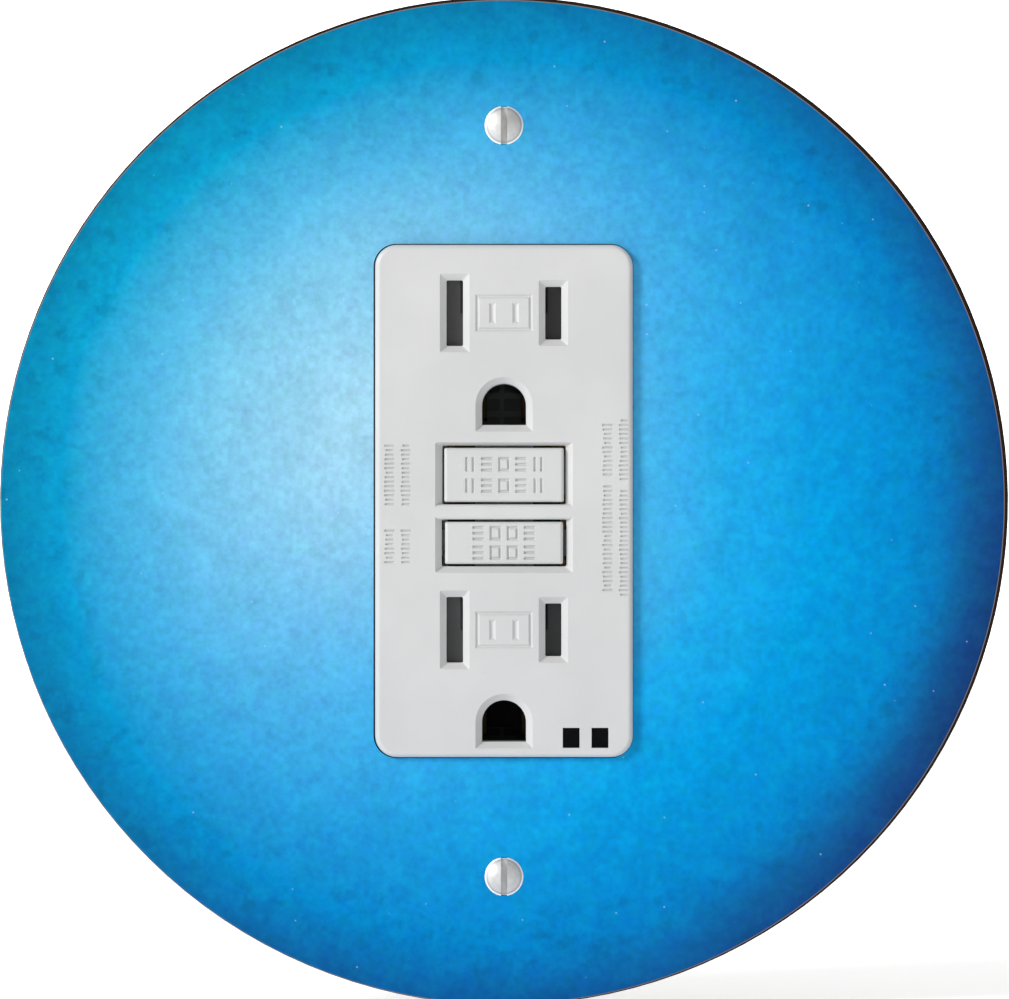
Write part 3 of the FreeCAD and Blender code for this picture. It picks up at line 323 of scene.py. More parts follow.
# ------------------------------------------------------------------ sensing coils and their housing
# Two ring cores wound with fine enamelled wire sit one behind the other in a moulded cup, and the
# two line conductors pass through both. The wire's turns run radially over each ring.
def wound_wire(name, centre, turns, dark, light):
    look = Finish(name, metallic=0.85, coat=0.3)
    x, _, z = look.parts(look.moved((-centre[0], 0, -centre[2])))
    ridge = (z.math("ARCTAN2", x) * turns).math("SINE") * 0.5 + 0.5
    uneven = look.noise(1.6 * mm, 3)
    # Painted shade: the colour is darker in the creases between turns than on their crowns.
    look.set("Base Color", look.blend((ridge * 0.7 + uneven * 0.3).at_most(1.0), dark, light))
    look.set("Roughness", 0.25 + uneven * 0.2)
    look.relief(ridge, 0.12 * mm)
    return look.material


def middle(node):
    low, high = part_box(node)
    return (low + high) / 2


core_middle = middle("ground_fault_core")
copper_turns = wound_wire("fine_winding", core_middle, 60, (0.30, 0.09, 0.03), (0.62, 0.24, 0.10))
give(copper_turns, "ground_fault_core", "grounded_neutral_core")


def enamelled_copper():
    look = Finish("enamelled_copper", metallic=1.0, coat=0.4)
    cloud = look.noise(0.8 * mm, 3)
    look.set("Base Color", look.blend(cloud, (0.42, 0.13, 0.045), (0.68, 0.27, 0.11)))
    look.set("Roughness", 0.2 + cloud * 0.18)
    return look.material


copper = enamelled_copper()
give(copper, "line_conductors")


# ------------------------------------------------------------------ moulded inner plastics
# The transformer cup, the deck, the bobbin, the shutter trays and the contact carriage are injection
# moulded. Each has a fine spark texture, small pits and faint flow clouding.
def moulded(name, dark, light, roughness=0.45, grain_size=0.22, grain_depth=0.012):
    look = Finish(name)
    flow = look.noise(9 * mm, 3)
    grain = look.noise(grain_size * mm, 3)
    pits = look.cells(grain_size * 2.4 * mm)
    tone = (flow * 0.7 + grain * 0.3).step(0.25, 0.75)
    look.set("Base Color", look.blend(tone, dark, light))
    look.set("Roughness", roughness - 0.08 + grain * 0.16 + flow * 0.06)
    look.relief(grain * 0.6 + pits * 0.4, grain_depth * mm)
    return look.material


give(moulded("deck_black", (0.018, 0.018, 0.02), (0.04, 0.04, 0.043)), "transformer_housing", "middle_deck")
natural_nylon = moulded("natural_nylon", (0.48, 0.46, 0.40), (0.58, 0.56, 0.50), 0.4)
give(natural_nylon, "solenoid_bobbin", "shutter_tray_upper", "shutter_tray_lower")
give(moulded("carriage_amber", (0.34, 0.22, 0.035), (0.46, 0.31, 0.06)), "contact_carriage")


# ------------------------------------------------------------------ sheet metal, contacts and latch
# The hot bus and terminals are stamped brass, the neutral ones are silver plated, the strap, plunger,
# latch and reset pin are zinc-plated steel and the test blade is bronze. All show rolling lines and
# scuffs. The test blade is made as a piece of its own.
def stamped_metal(name, dark, light, roughness):
    look = Finish(name, metallic=1.0)
    rolled = look.noise(0.12 * mm, 3, look.moved(scale=(1, 1, 0.05)))
    cloud = look.noise(5 * mm, 4)
    scuff = look.noise(0.9 * mm, 6).step(0.56, 0.74)
    look.set("Base Color", look.blend((cloud * 0.65 + rolled * 0.35).step(0.2, 0.8), dark, light))
    look.set("Roughness", roughness - 0.08 + rolled * 0.14 + scuff * 0.14)
    look.relief(rolled * 0.7 + scuff * 0.3, 0.006 * mm)
    return look.material


brass = stamped_metal("stamped_brass", (0.52, 0.32, 0.10), (0.78, 0.55, 0.22), 0.3)
silvered = stamped_metal("silver_plate", (0.55, 0.55, 0.53), (0.78, 0.78, 0.75), 0.28)
zinc = stamped_metal("zinc_plate", (0.40, 0.41, 0.43), (0.66, 0.66, 0.64), 0.36)
bronze = stamped_metal("phosphor_bronze", (0.42, 0.22, 0.09), (0.64, 0.38, 0.18), 0.32)
give(brass, "hot_bus", "moving_contacts", "terminal_strap_line_hot", "terminal_strap_load_hot")
give(silvered, "neutral_bus", "terminal_strap_line_neutral", "terminal_strap_load_neutral")
give(brass, "clamp_plate_line_hot", "clamp_plate_load_hot")
give(silvered, "clamp_plate_line_neutral", "clamp_plate_load_neutral")
give(zinc, "mounting_strap", "solenoid_plunger", "latch", "reset_pin")
give(stamped_metal("black_zinc", (0.015, 0.015, 0.016), (0.035, 0.035, 0.036), 0.55), "solenoid_frame")
# The ground contacts' brass is painted nearly black: painted shade for the dark inside of the ground holes.
give(stamped_metal("brass_in_painted_shade", (0.025, 0.017, 0.009), (0.055, 0.038, 0.018), 0.6), "ground_contacts")


def place_mesh(name, mesh):
    mesh.name = name
    piece = bpy.data.objects.new(name, mesh)
    bpy.context.scene.collection.objects.link(piece)
    return piece


def copied(node, name):
    """A merged copy of a CAD node's mesh, ready to be worked on."""
    mesh = nodes[node].data.copy()
    shell = bmesh.new()
    shell.from_mesh(mesh)
    bmesh.ops.remove_doubles(shell, verts=shell.verts, dist=1e-6)
    shell.to_mesh(mesh)
    shell.free()
    if mesh.has_custom_normals:
        mesh.attributes.remove(mesh.attributes["custom_normal"])
    return place_mesh(name, mesh)


def paint(piece, material):
    piece.data.materials.clear()
    piece.data.materials.append(material)


def soft_shading(piece, degrees=35.0):
    for face in piece.data.polygons:
        face.use_smooth = True
    piece.data.set_sharp_from_angle(angle=math.radians(degrees))


blade = copied("test_contact_blade", "bending_test_blade")
paint(blade, bronze)
soft_shading(blade)
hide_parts("test_contact_blade")
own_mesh(blade)
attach(blade, "device")


# ------------------------------------------------------------------ springs and the solenoid's winding
# Round spring wire coiled at an even pitch, and enamelled copper wound in one tight layer on the
# bobbin. Each is one wire swept along its helix and closed at both ends.
class Recipe:
    """A Geometry Nodes tree, built step by step. What it makes is turned and put in place at its end."""

    def __init__(self, name, sizes):
        self.tree = bpy.data.node_groups.new(name, "GeometryNodeTree")
        self.tree.interface.new_socket(name="Geometry", in_out="OUTPUT", socket_type="NodeSocketGeometry")
        self.names = {}
        inputs = {**sizes, "Turn": (0.0, 0.0, 0.0), "Place": (0.0, 0.0, 0.0)}
        for label, value in inputs.items():
            kind = {int: "NodeSocketInt", tuple: "NodeSocketVector"}.get(type(value), "NodeSocketFloat")
            socket = self.tree.interface.new_socket(name=label, in_out="INPUT", socket_type=kind)
            socket.default_value = value
            self.names[label] = socket.identifier
        self.start = self.tree.nodes.new("NodeGroupInput")
        self.end = self.tree.nodes.new("NodeGroupOutput")

    def given(self, label):
        return self.start.outputs[label]

    def node(self, kind, settings=None, inputs=None):
        node = self.tree.nodes.new(kind)
        for key, value in (settings or {}).items():
            setattr(node, key, value)
        for key, value in (inputs or {}).items():
            if isinstance(value, bpy.types.NodeSocket):
                self.tree.links.new(value, node.inputs[key])
            else:
                node.inputs[key].default_value = value
        return node

    def add(self, kind, settings=None, inputs=None, output=0):
        return self.node(kind, settings, inputs).outputs[output]

    def math(self, operation, first, second):
        return self.add("ShaderNodeMath", {"operation": operation}, {0: first, 1: second})

    def helix(self, radius, height, turns, steps, sides, thickness):
        """A wire with a section of the given sides, along a helix that rises along Z from the origin."""
        path = {"Resolution": steps, "Rotations": turns, "Height": height}
        path.update({"Start Radius": radius, "End Radius": radius})
        line = self.add("GeometryNodeCurveSpiral", inputs=path)
        section = {"Resolution": sides, "Radius": thickness}
        wire = self.add("GeometryNodeCurvePrimitiveCircle", inputs=section)
        sweep = {"Curve": line, "Profile Curve": wire, "Fill Caps": True}
        return self.add("GeometryNodeCurveToMesh", inputs=sweep)

    def finish(self, geometry, material):
        put = {0: geometry, "Translation": self.given("Place"), "Rotation": self.given("Turn")}
        placed = self.add("GeometryNodeTransform", inputs=put)
        real = self.add("GeometryNodeRealizeInstances", inputs={"Geometry": placed})
        painted = self.add("GeometryNodeSetMaterial", inputs={"Geometry": real, "Material": material})
        self.tree.links.new(painted, self.end.inputs[0])
        return self


def made_from(recipe, name, **values):
    """Runs a tree with the given inputs, and returns its result as a plain mesh object."""
    holder = bpy.data.objects.new(name + "_maker", bpy.data.meshes.new(name + "_maker"))
    bpy.context.scene.collection.objects.link(holder)
    maker = holder.modifiers.new("maker", "NODES")
    maker.node_group = recipe.tree
    for label, value in values.items():
        maker[recipe.names[label]] = value
    shapes = bpy.context.evaluated_depsgraph_get()
    mesh = bpy.data.meshes.new_from_object(holder.evaluated_get(shapes))
    bpy.data.objects.remove(holder)
    return place_mesh(name, mesh)


def coil_recipe(name, material):
    """Round wire along a helix."""
    sizes = {"Wire": 0.1 * mm, "Radius": mm, "Length": mm, "Turns": 5.0, "Steps": 24}
    coil = Recipe(name, sizes)
    radius, length, turns, steps, wire = map(coil.given, ("Radius", "Length", "Turns", "Steps", "Wire"))
    swept = coil.helix(radius, length, turns, steps, 10, wire)
    smooth = coil.add("GeometryNodeSetShadeSmooth", inputs={0: swept})
    return coil.finish(smooth, material)


def spring_wire():
    look = Finish("spring_wire", metallic=1.0)
    drawn = look.noise(0.3 * mm, 3)
    look.set("Base Color", look.blend(drawn, (0.36, 0.36, 0.37), (0.58, 0.57, 0.55)))
    look.set("Roughness", 0.18 + drawn * 0.16)
    return look.material


def faces_out(piece):
    shell = bmesh.new()
    shell.from_mesh(piece.data)
    bmesh.ops.recalc_face_normals(shell, faces=shell.faces)
    shell.to_mesh(piece.data)
    shell.free()


spring_steel = spring_wire()
coil_spring = coil_recipe("coil_spring", spring_steel)
tight_winding = coil_recipe("tight_winding", copper)
turn_to = {"X": (0.0, math.radians(90), 0.0), "Y": (math.radians(-90), 0.0, 0.0), "Z": (0.0, 0.0, 0.0)}


def coil(name, axis, turns, wire, recipe=coil_spring):
    """A helix that fills the box of its CAD sleeve, along the given axis."""
    low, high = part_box(name)
    along = "XYZ".index(axis)
    radius = (high[along - 1] - low[along - 1]) / 2 - wire
    start = (low + high) / 2
    start[along] = low[along] + wire
    piece = made_from(
        recipe,
        name + "_wire",
        Wire=wire,
        Radius=radius,
        Length=high[along] - low[along] - 2 * wire,
        Turns=turns,
        Turn=turn_to[axis],
        Place=tuple(start),
    )
    faces_out(piece)
    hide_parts(name)
    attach(piece, "device")
    return piece


def spring(name, axis, turns, wire, held_at):
    """A coil along the given axis, with a mesh of its own.

    Held_at is the point that stays in place: 0 for its lower end and 1 for its upper end.
    """
    piece = coil(name, axis, turns, wire)
    low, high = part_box(name)
    along = "XYZ".index(axis)
    anchor = (low + high) / 2
    anchor[along] = low[along] + held_at * (high[along] - low[along])
    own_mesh(piece)


spring("reset_spring", "Y", 11.0, 0.2 * mm, held_at=1.0)
spring("test_spring", "Y", 5.0, 0.17 * mm, held_at=1.0)
spring("plunger_spring", "Z", 4.0, 0.2 * mm, held_at=0.0)
for outlet in ("upper", "lower"):
    spring(f"shutter_spring_{outlet}", "X", 9.0, 0.14 * mm, held_at=0.5)
coil("solenoid_coil", "Z", 26.0, 0.2 * mm, tight_winding)


# ------------------------------------------------------------------ rear housing
# The back body is injection moulded in light grey, with an even spark texture and soft flow clouding.
# Four long screws hold it to the face.
housing = moulded("housing_grey", (0.44, 0.44, 0.425), (0.49, 0.49, 0.475), 0.5, 0.3, 0.02)
give(housing, "rear_housing")


# ------------------------------------------------------------------ screws that hold the device
# Terminal, ground, assembly and box screws are steel or brass, with rubbed, finely turned heads. On
# the terminal and box screws the thread is a ridge rolled round a shank that is slimmed to its root.
def turned_metal(name, dark, light, roughness, metallic=1.0):
    look = Finish(name, metallic)
    fine = look.noise(0.15 * mm, 4)
    cloud = look.noise(1.8 * mm, 4)
    rub = look.noise(0.6 * mm, 6).step(0.55, 0.72)
    look.set("Base Color", look.blend((cloud * 0.6 + fine * 0.4).step(0.25, 0.75), dark, light))
    look.set("Roughness", roughness - 0.06 + fine * 0.12 + rub * 0.12)
    look.relief(fine * 0.7 + rub * 0.3, 0.006 * mm)
    return look.material


screw_brass = turned_metal("screw_brass", (0.55, 0.34, 0.10), (0.80, 0.56, 0.22), 0.26)
screw_silver = turned_metal("screw_silver", (0.58, 0.58, 0.56), (0.80, 0.80, 0.77), 0.26)
screw_zinc = turned_metal("screw_zinc", (0.44, 0.45, 0.47), (0.70, 0.69, 0.66), 0.32)
green_enamel = turned_metal("green_enamel", (0.006, 0.11, 0.035), (0.015, 0.19, 0.06), 0.3, 0.35)
give(screw_zinc, "assembly_screws")
give(green_enamel, "ground_screw")


def thread_recipe(material):
    """A rolled thread: one ridge with a pointed section, wound on a screw's root."""
    sizes = {"Radius": mm, "Length": mm, "Pitch": 0.8 * mm, "Depth": 0.25 * mm}
    thread = Recipe("rolled_thread", sizes)
    radius, length, pitch, depth = map(thread.given, ("Radius", "Length", "Pitch", "Depth"))
    root = thread.math("SUBTRACT", radius, depth)
    turns = thread.math("DIVIDE", length, pitch)
    return thread.finish(thread.helix(root, length, turns, 20, 4, depth), material)


def merge(piece, others):
    """Adds the meshes of others to piece, and removes the others."""
    shell = bmesh.new()
    shell.from_mesh(piece.data)
    for other in others:
        shell.from_mesh(other.data)
        bpy.data.objects.remove(other)
    shell.to_mesh(piece.data)
    shell.free()


def with_thread(node, axis, radius, depth, spans, material, body, slot):
    """Slims the shank of a CAD screw to its root, and winds a thread on it.

    Each span is a shank: a point on its axis, and the two ends of its thread along that axis.
    """
    along = "XYZ".index(axis)
    piece = copied(node, node + "_threaded")
    a, b = [i for i in range(3) if i != along]
    ridges = []
    recipe = thread_recipe(material)
    slim = (radius - depth) / radius
    end_play = 0.001 * mm
    for number, (centre, low, high) in enumerate(spans):
        for point in piece.data.vertices:
            offset = Vector((point.co[a] - centre[a], point.co[b] - centre[b]))
            inside = low - end_play <= point.co[along] <= high + end_play
            if inside and abs(offset.length / radius - 1) < 0.03:
                point.co[a] = centre[a] + offset[0] * slim
                point.co[b] = centre[b] + offset[1] * slim
        start = Vector(centre)
        start[along] = low + depth
        ridges.append(
            made_from(
                recipe,
                f"{node}_ridge_{number}",
                Radius=radius,
                Length=high - low - 2 * depth,
                Depth=depth,
                Turn=turn_to[axis],
                Place=tuple(start),
            )
        )
    for ridge in ridges:
        faces_out(ridge)
    merge(piece, ridges)
    paint(piece, material)
    soft_shading(piece)
    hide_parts(node)
    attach(piece, body)


box_radius, box_depth, box_head = 1.75 * mm, 0.28 * mm, 3.4 * mm
box_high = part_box("box_mounting_screws")[1]
box_screw_z = box_high.z - box_head
box_spans = [((0, 0, z), 0.0, box_high.y) for z in (box_screw_z, -box_screw_z)]
box_thread = (box_radius, box_depth, box_spans, screw_zinc)
with_thread("box_mounting_screws", "Y", *box_thread, "device", "zinc_steel")
terminal_radius, terminal_depth, terminal_shank = 2.08 * mm, 0.3 * mm, 7.0 * mm
for circuit in ("line", "load"):
    for pole, metal, slot_name in (("hot", screw_brass, "brass"), ("neutral", screw_silver, "silvered")):
        node = f"terminal_screw_{circuit}_{pole}"
        low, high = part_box(node)
        side = 1 if high.x > 0 else -1
        inner = min(abs(low.x), abs(high.x))
        ends = sorted((side * inner, side * (inner + terminal_shank)))
        terminal_thread = (terminal_radius, terminal_depth, [((low + high) / 2, *ends)], metal)
        with_thread(node, "X", *terminal_thread, node, slot_name)


# ------------------------------------------------------------------ shutters and status windows
# The blade shutters are dark grey acetal with a sloped nose. Those behind the hot slots are painted
# near black instead, as painted shade for the darker hot slots. The status lights show through two
# square posts of smoked acrylic that look black when they are off.
shutter_grey = moulded("shutter_grey", (0.035, 0.035, 0.036), (0.055, 0.055, 0.056))
# Painted shade: a near-black copy of the shutter grey, for the shutters behind the hot slots.
hot_shutter_painted_shade = moulded("hot_shutter_painted_shade", (0.007, 0.007, 0.008), (0.013, 0.013, 0.014))
give(shutter_grey, "shutter_upper_neutral", "shutter_lower_neutral")
give(hot_shutter_painted_shade, "shutter_upper_hot", "shutter_lower_hot")


def smoked_acrylic():
    look = Finish("smoked_acrylic")
    look.shader.inputs["Specular IOR Level"].default_value = 0.03
    haze = look.noise(0.7 * mm, 3)
    look.set("Base Color", look.blend(haze, (0.002, 0.002, 0.002), (0.005, 0.005, 0.006)))
    look.set("Roughness", 0.3 + haze * 0.14)
    return look.material


give(smoked_acrylic(), "status_light_pipe")


# ------------------------------------------------------------------ front cover
# The face is injection moulded in white with a satin spark texture. The outlets' pictograms and the
# rows of ticks beside the buttons are sunk into it with sloped walls, as the mould leaves them.
def white_plastic(name, dark, light, grain_depth):
    look = Finish(name)
    flow = look.noise(14 * mm, 3)
    grain = look.noise(0.16 * mm, 3)
    pits = look.cells(0.45 * mm)
    speck = 1 - look.cells(2.6 * mm).step(0.03, 0.05)
    tone = (flow * 0.75 + grain * 0.25).step(0.3, 0.7)
    clean = look.blend(tone, dark, light)
    look.set("Base Color", look.blend(speck * 0.10, clean, (0.25, 0.24, 0.22)))
    look.set("Roughness", 0.36 + grain * 0.14 + flow * 0.05)
    look.relief(grain * 0.6 + pits * 0.4, grain_depth * mm)
    return look.material


def mark_recipe(material):
    """A row of bars along Z, to be sunk in a face. Their walls slope, and some bars are shorter."""
    sizes = {"Count": 4, "Pitch": mm, "Bar": 0.3 * mm, "Reach": 1.2 * mm, "Shortest": 0.6, "Deep": 0.2 * mm}
    marks = Recipe("tick_row", {**sizes, "Seed": 1})
    reach, bar, deep = map(marks.given, ("Reach", "Bar", "Deep"))

    def point(**sides):
        return marks.add("ShaderNodeCombineXYZ", inputs=sides)

    def product(first, second):
        return marks.math("MULTIPLY", first, second)

    spacing = {"Count": marks.given("Count"), "Offset": point(Z=marks.given("Pitch"))}
    line = marks.add("GeometryNodeMeshLine", inputs=spacing)
    block = marks.add("GeometryNodeMeshCube", inputs={"Size": point(X=reach, Y=product(deep, 2.0), Z=bar)})
    corner = marks.add("GeometryNodeInputPosition")
    signs = marks.add("ShaderNodeVectorMath", {"operation": "SIGN"}, {0: corner})
    right, inward, up = marks.node("ShaderNodeSeparateXYZ", inputs={0: signs}).outputs
    lean = product(inward, product(bar, -0.38))
    leaning = point(X=product(right, lean), Z=product(up, lean))
    sloped = marks.add("GeometryNodeSetPosition", inputs={"Geometry": block, "Offset": leaning})
    least, most = 2, 3
    draw = {least: marks.given("Shortest"), most: 1.0, "Seed": marks.given("Seed")}
    share = marks.add("FunctionNodeRandomValue", {"data_type": "FLOAT"}, draw, 1)
    row = {"Points": line, "Instance": sloped, "Scale": point(X=share, Y=1.0, Z=1.0)}
    return marks.finish(marks.add("GeometryNodeInstanceOnPoints", inputs=row), material)


face_white = white_plastic("face_white", (0.56, 0.56, 0.558), (0.61, 0.61, 0.606), 0.006)
tick_row = mark_recipe(face_white)
face_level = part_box("front_cover")[0].y
mark_depth = 0.2 * mm


def sunk_row(name, x, z, count, pitch, reach, bar, shortest=0.6, seed=1, level=face_level, deep=mark_depth):
    """A row of cutters centred on x, z, sunk from the given level."""
    sizes = {"Count": count, "Pitch": pitch, "Bar": bar, "Reach": reach, "Deep": deep}
    place = (x, level, z - (count - 1) * pitch / 2)
    return made_from(tick_row, name, **sizes, Shortest=shortest, Seed=seed, Place=place)


def sunk_bar(name, x, z, width, height, level=face_level, deep=mark_depth):
    """One sunk bar of the given width and height, laid so that its walls slope by its narrow side."""
    if height <= width:
        return sunk_row(name, x, z, 1, mm, width, height, 1.0, level=level, deep=deep)
    values = {"Count": 1, "Bar": width, "Reach": height, "Shortest": 1.0, "Deep": deep}
    return made_from(tick_row, name, **values, Turn=turn_to["X"], Place=(x, level, z))


def sunk_frame(name, x, z, width, height, stroke, level=face_level, deep=mark_depth):
    """A sunk rectangular outline of four bars that meet at their corners."""
    bars = []
    for side in (1, -1):
        rail_z = z + side * (height - stroke) / 2
        post_x = x + side * (width - stroke) / 2
        bars.append(sunk_bar(f"{name}_h{side}", x, rail_z, width, stroke, level, deep))
        bars.append(sunk_bar(f"{name}_v{side}", post_x, z, stroke, height, level, deep))
    return bars


def cut_marks(piece, cutters):
    """Sinks the cutters' shapes into a piece, then drops them."""
    for cutter in cutters:
        faces_out(cutter)
        tool = piece.modifiers.new("mark", "BOOLEAN")
        tool.operation = "DIFFERENCE"
        tool.solver = "MANIFOLD"
        tool.object = cutter
    shapes = bpy.context.evaluated_depsgraph_get()
    cut = bpy.data.meshes.new_from_object(piece.evaluated_get(shapes))
    piece.modifiers.clear()
    piece.data = cut
    for cutter in cutters:
        bpy.data.objects.remove(cutter)


def crisp_flats(piece, degrees):
    """Smooth shading in which the large flat faces stay flat."""
    soft_shading(piece, degrees)
    flats = piece.modifiers.new("flats", "WEIGHTED_NORMAL")
    flats.keep_sharp = True
    shapes = bpy.context.evaluated_depsgraph_get()
    piece.data = bpy.data.meshes.new_from_object(piece.evaluated_get(shapes))
    piece.modifiers.clear()


cover = copied("front_cover", "moulded_face")
cutters = []
frame_size = (7.4 * mm, 4.8 * mm, 0.55 * mm)
slat_size = (0.85 * mm, 2.7 * mm)
slat_x = 1.5 * mm
for outlet, z in (("upper", 24.2 * mm), ("lower", -16.6 * mm)):
    cutters += sunk_frame(outlet + "_frame", 0, z, *frame_size)
    for side in (1, -1):
        cutters.append(sunk_bar(f"{outlet}_slat{side}", side * slat_x, z, *slat_size))
tick = {"pitch": 0.58 * mm, "reach": 1.45 * mm, "bar": 0.30 * mm}
columns = (
    (-14.75, ((3.35, 7), (-5.85, 4))),
    (-12.65, ((3.35, 7), (-5.85, 4))),
    (13.35, ((6.60, 6), (-4.80, 12))),
    (15.48, ((6.60, 7), (-5.40, 12))),
)
for column, (x, words) in enumerate(columns):
    for word, (z, letters) in enumerate(words):
        name = f"ticks_{column}_{word}"
        seed = 11 + 7 * column + word
        cutters.append(sunk_row(name, x * mm, z * mm, count=letters * 2, seed=seed, **tick))
cut_marks(cover, cutters)
paint(cover, face_white)
crisp_flats(cover, 25.0)
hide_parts("front_cover")
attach(cover, "device")


# ------------------------------------------------------------------ buttons
# Both buttons are moulded caps with rounded rims. Two equal rows of plain symbols are sunk into each,
# so that the button looks the same whichever way up the device is mounted.
button_white = white_plastic("button_white", (0.55, 0.55, 0.548), (0.60, 0.60, 0.597), 0.005)
button_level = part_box("reset_button")[0].y
symbol_pitch = 2.2 * mm
symbol_width = 1.55 * mm
symbol_height = 1.9 * mm
symbol_stroke = 0.42 * mm
symbol_depth = 0.26 * mm
pair_x = 0.42 * mm


def symbol_row(name, z, kinds):
    """Plain symbols beside each other: pairs of bars, stacks of three bars, and frames."""
    bars = []
    post = (symbol_stroke, symbol_height, button_level, symbol_depth)
    rung = (symbol_width, symbol_stroke, button_level, symbol_depth)
    outline = (symbol_width, symbol_height, symbol_stroke, button_level, symbol_depth)
    for number, kind in enumerate(kinds):
        x = (number - (len(kinds) - 1) / 2) * symbol_pitch
        label = f"{name}_{number}"
        if kind == "pair":
            for side in (-1, 1):
                bars.append(sunk_bar(f"{label}_{side}", x + side * pair_x, z, *post))
        if kind == "stack":
            for step in (-1, 0, 1):
                rung_z = z + step * (symbol_height - symbol_stroke) / 2
                bars.append(sunk_bar(f"{label}_{step}", x, rung_z, *rung))
        if kind == "frame":
            bars += sunk_frame(label, x, z, *outline)
    return bars


def finished_button(node, name, rows_apart, kinds, body):
    button = copied(node, name)
    z = middle(node).z
    cutters = symbol_row(name + "_top", z + rows_apart / 2, kinds)
    cutters += symbol_row(name + "_low", z - rows_apart / 2, kinds)
    cut_marks(button, cutters)
    paint(button, button_white)
    crisp_flats(button, 25.0)
    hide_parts(node)
    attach(button, body)


reset_symbols = ("pair", "stack", "frame", "stack", "pair")
test_symbols = ("stack", "frame", "frame", "stack")
finished_button("reset_button", "reset_cap", 2.75 * mm, reset_symbols, "reset_assembly")
finished_button("test_button", "test_cap", 2.5 * mm, test_symbols, "test_assembly")


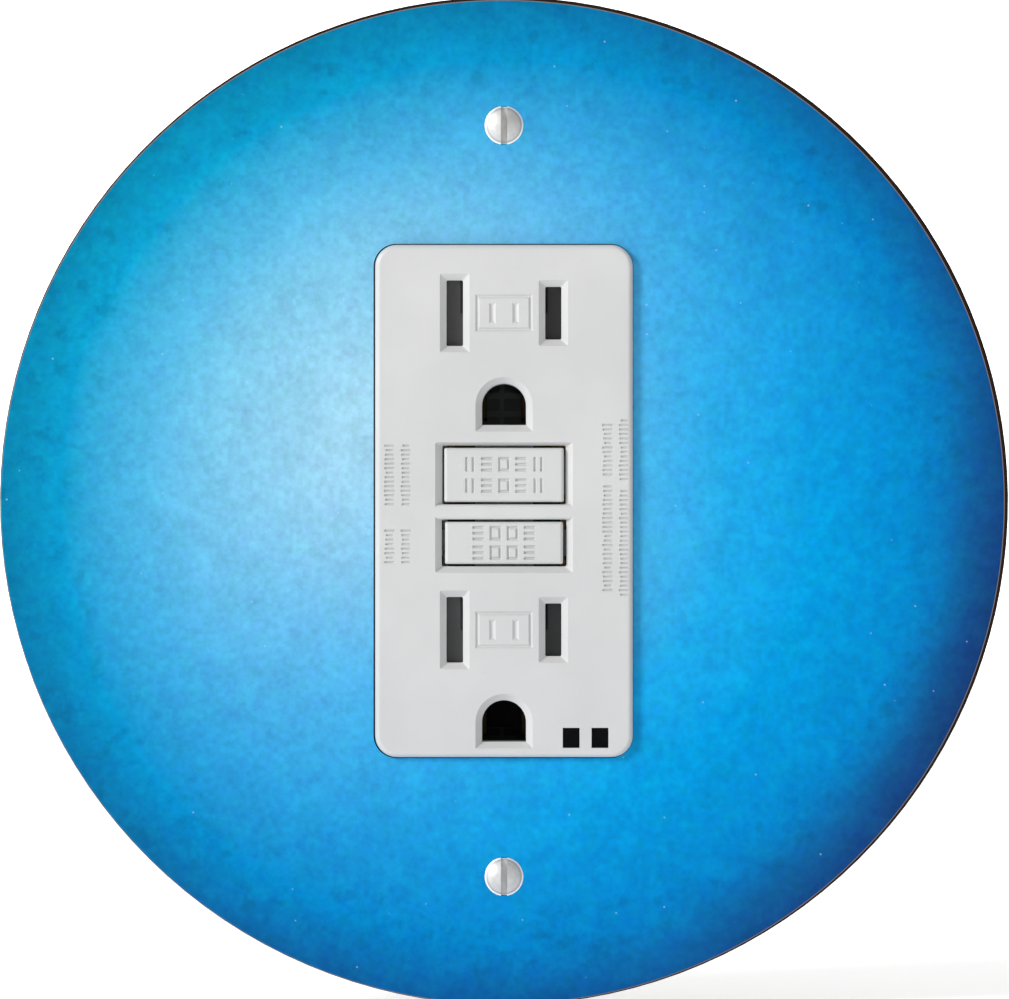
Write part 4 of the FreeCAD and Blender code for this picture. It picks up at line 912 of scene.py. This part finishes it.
# ------------------------------------------------------------------ wall plate
# A round hardboard plate with a printed and lacquered face. Its blues darken outwards, and go round
# from pale at the left to navy at the lower right. The edge is dark from the cutting, the back is bare.
def printed_board():
    look = Finish("printed_board")
    look.shader.inputs["Specular IOR Level"].default_value = 0.035
    x, y, z = look.parts()
    radius = 65.0 * mm
    far = ((x * x + z * z) ** 0.5) / radius
    toward_pale = math.radians(146)
    side = (x * math.cos(toward_pale) + z * math.sin(toward_pale)) / radius
    lean = ((side / far.at_least(0.05)) * 0.5 + 0.5).at_least(0.0) ** 2.2
    soft = look.noise(16 * mm, 3)
    wavy = far + (soft - 0.5) * 0.05

    pale_inks = (
        (0.35, (0.31, 0.58, 0.74)),
        (0.60, (0.17, 0.49, 0.69)),
        (0.72, (0.08, 0.41, 0.65)),
        (0.88, (0.002, 0.29, 0.51)),
        (1.00, (0.001, 0.20, 0.35)),
    )
    deep_inks = (
        (0.30, (0.05, 0.39, 0.71)),
        (0.45, (0.01, 0.35, 0.71)),
        (0.62, (0.0, 0.30, 0.66)),
        (0.88, (0.0, 0.20, 0.51)),
        (1.00, (0.003, 0.09, 0.29)),
    )
    pale = look.add("ValToRGB", {"stops": pale_inks}, {"Fac": wavy})
    deep = look.add("ValToRGB", {"stops": deep_inks}, {"Fac": wavy})
    ink = look.blend(lean, deep, pale)
    navy_side = math.radians(338)
    aside = (x * math.cos(navy_side) + z * math.sin(navy_side)) / radius
    navy = (((aside / far.at_least(0.05)) * 0.5 + 0.5).at_least(0.0) ** 7.0) * wavy.step(0.80, 1.0)
    ink = look.blend(navy * 0.8, ink, (0.008, 0.03, 0.14))
    mottle = look.noise(0.8 * mm, 6) * 0.65 + look.noise(5 * mm, 4) * 0.35
    drift = look.noise(2.2 * mm, 5, look.moved((0.03, 0.01, 0.02))) - 0.5
    shift = {"Color": ink, "Value": 1.0 + (mottle - 0.5) * 0.8, "Hue": 0.5 - drift * 0.035}
    ink = look.add("HueSaturation", {}, shift)
    blotch = look.noise(2.6 * mm, 5).step(0.56, 0.70) * far.step(0.72, 0.9)
    ink = look.blend(blotch * 0.3, ink, (0.002, 0.09, 0.20))
    specks = look.cells(3.4 * mm)
    ink = look.blend((1 - specks.step(0.02, 0.05)) * 0.25, ink, (0.75, 0.9, 0.95))

    off_x, off_z = -0.20 * mm, -0.15 * mm
    print_x, print_z = x - off_x, z - off_z
    from_print = (print_x * print_x + print_z * print_z) ** 0.5
    print_edge = 64.60 * mm
    bare = from_print.step(print_edge, print_edge + 0.07 * mm)
    line = bare * (1 - from_print.step(print_edge + 0.10 * mm, print_edge + 0.16 * mm))
    fibre = look.noise(0.25 * mm, 6)
    flakes = look.noise(1.4 * mm, 6, look.moved(turn=(0, 0.6, 0), scale=(1, 1, 0.35)))
    pressed = (fibre * 0.45 + flakes * 0.55).step(0.3, 0.7)
    board = look.blend(pressed, (0.032, 0.016, 0.008), (0.125, 0.07, 0.036))
    burnt = look.blend(fibre, (0.010, 0.006, 0.004), (0.03, 0.018, 0.011))
    edge = look.blend(line * 0.6, burnt, (0.34, 0.29, 0.30))
    print_depth = plate_front + 0.25 * mm
    front = 1 - y.step(print_depth, print_depth + 0.03 * mm)
    behind = y.step(-0.4 * mm, -0.2 * mm)
    surface = look.blend(bare, ink, edge)
    surface = look.blend(front, look.blend(behind, burnt, board), surface)
    look.set("Base Color", surface)
    look.set("Roughness", 0.62 - front * (1 - bare) * 0.24 + mottle * 0.06)
    look.relief(mottle * 0.5 + (1 - front) * fibre * 2.0, 0.012 * mm)
    return look.material


give(printed_board(), "wall_plate")


# ------------------------------------------------------------------ plate screws
# Two nickel-plated oval-head screws with one slot each, turned upright. The dome has fine lathe rings
# and scratches. Near its edge a darker ring is painted shade, and its near-white rim is a painted
# highlight.
def polished_nickel():
    look = Finish("polished_nickel", metallic=0.7)
    x, _, z = look.parts()
    screw_z, ring_pitch = 48.42 * mm, 0.11 * mm
    near = z.math("ABSOLUTE") - screw_z
    far = (x * x + near * near) ** 0.5
    ring = (far * (2 * math.pi / ring_pitch)).math("SINE") * 0.5 + 0.5
    # Painted highlight: the rim of the dome is painted near white.
    painted_highlight_rim = far.step(2.26 * mm, 2.34 * mm)
    # Painted shade: a darker ring just inside the rim.
    painted_shade_ring = far.step(1.95 * mm, 2.2 * mm) * (1 - painted_highlight_rim)
    cloud = look.noise(0.8 * mm, 4)
    scratch = look.noise(0.09 * mm, 4, look.moved(turn=(0, math.radians(35), 0), scale=(1, 1, 0.08)))
    tone = (cloud * 0.7 + scratch * 0.3).step(0.2, 0.8)
    nickel = look.blend(tone, (0.54, 0.535, 0.525), (0.70, 0.695, 0.685))
    nickel = look.blend(painted_shade_ring * 0.45, nickel, (0.30, 0.28, 0.27))
    look.set("Base Color", look.blend(painted_highlight_rim, nickel, (0.97, 0.97, 0.97)))
    look.set("Roughness", 0.46 + cloud * 0.1 + scratch * 0.1)
    look.relief(ring * 0.4 + scratch * 0.6, 0.004 * mm)
    return look.material


plate_screws = copied("plate_screws", "oval_head_screws")
paint(plate_screws, polished_nickel())
soft_shading(plate_screws, 28.0)
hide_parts("plate_screws")
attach(plate_screws, "device")
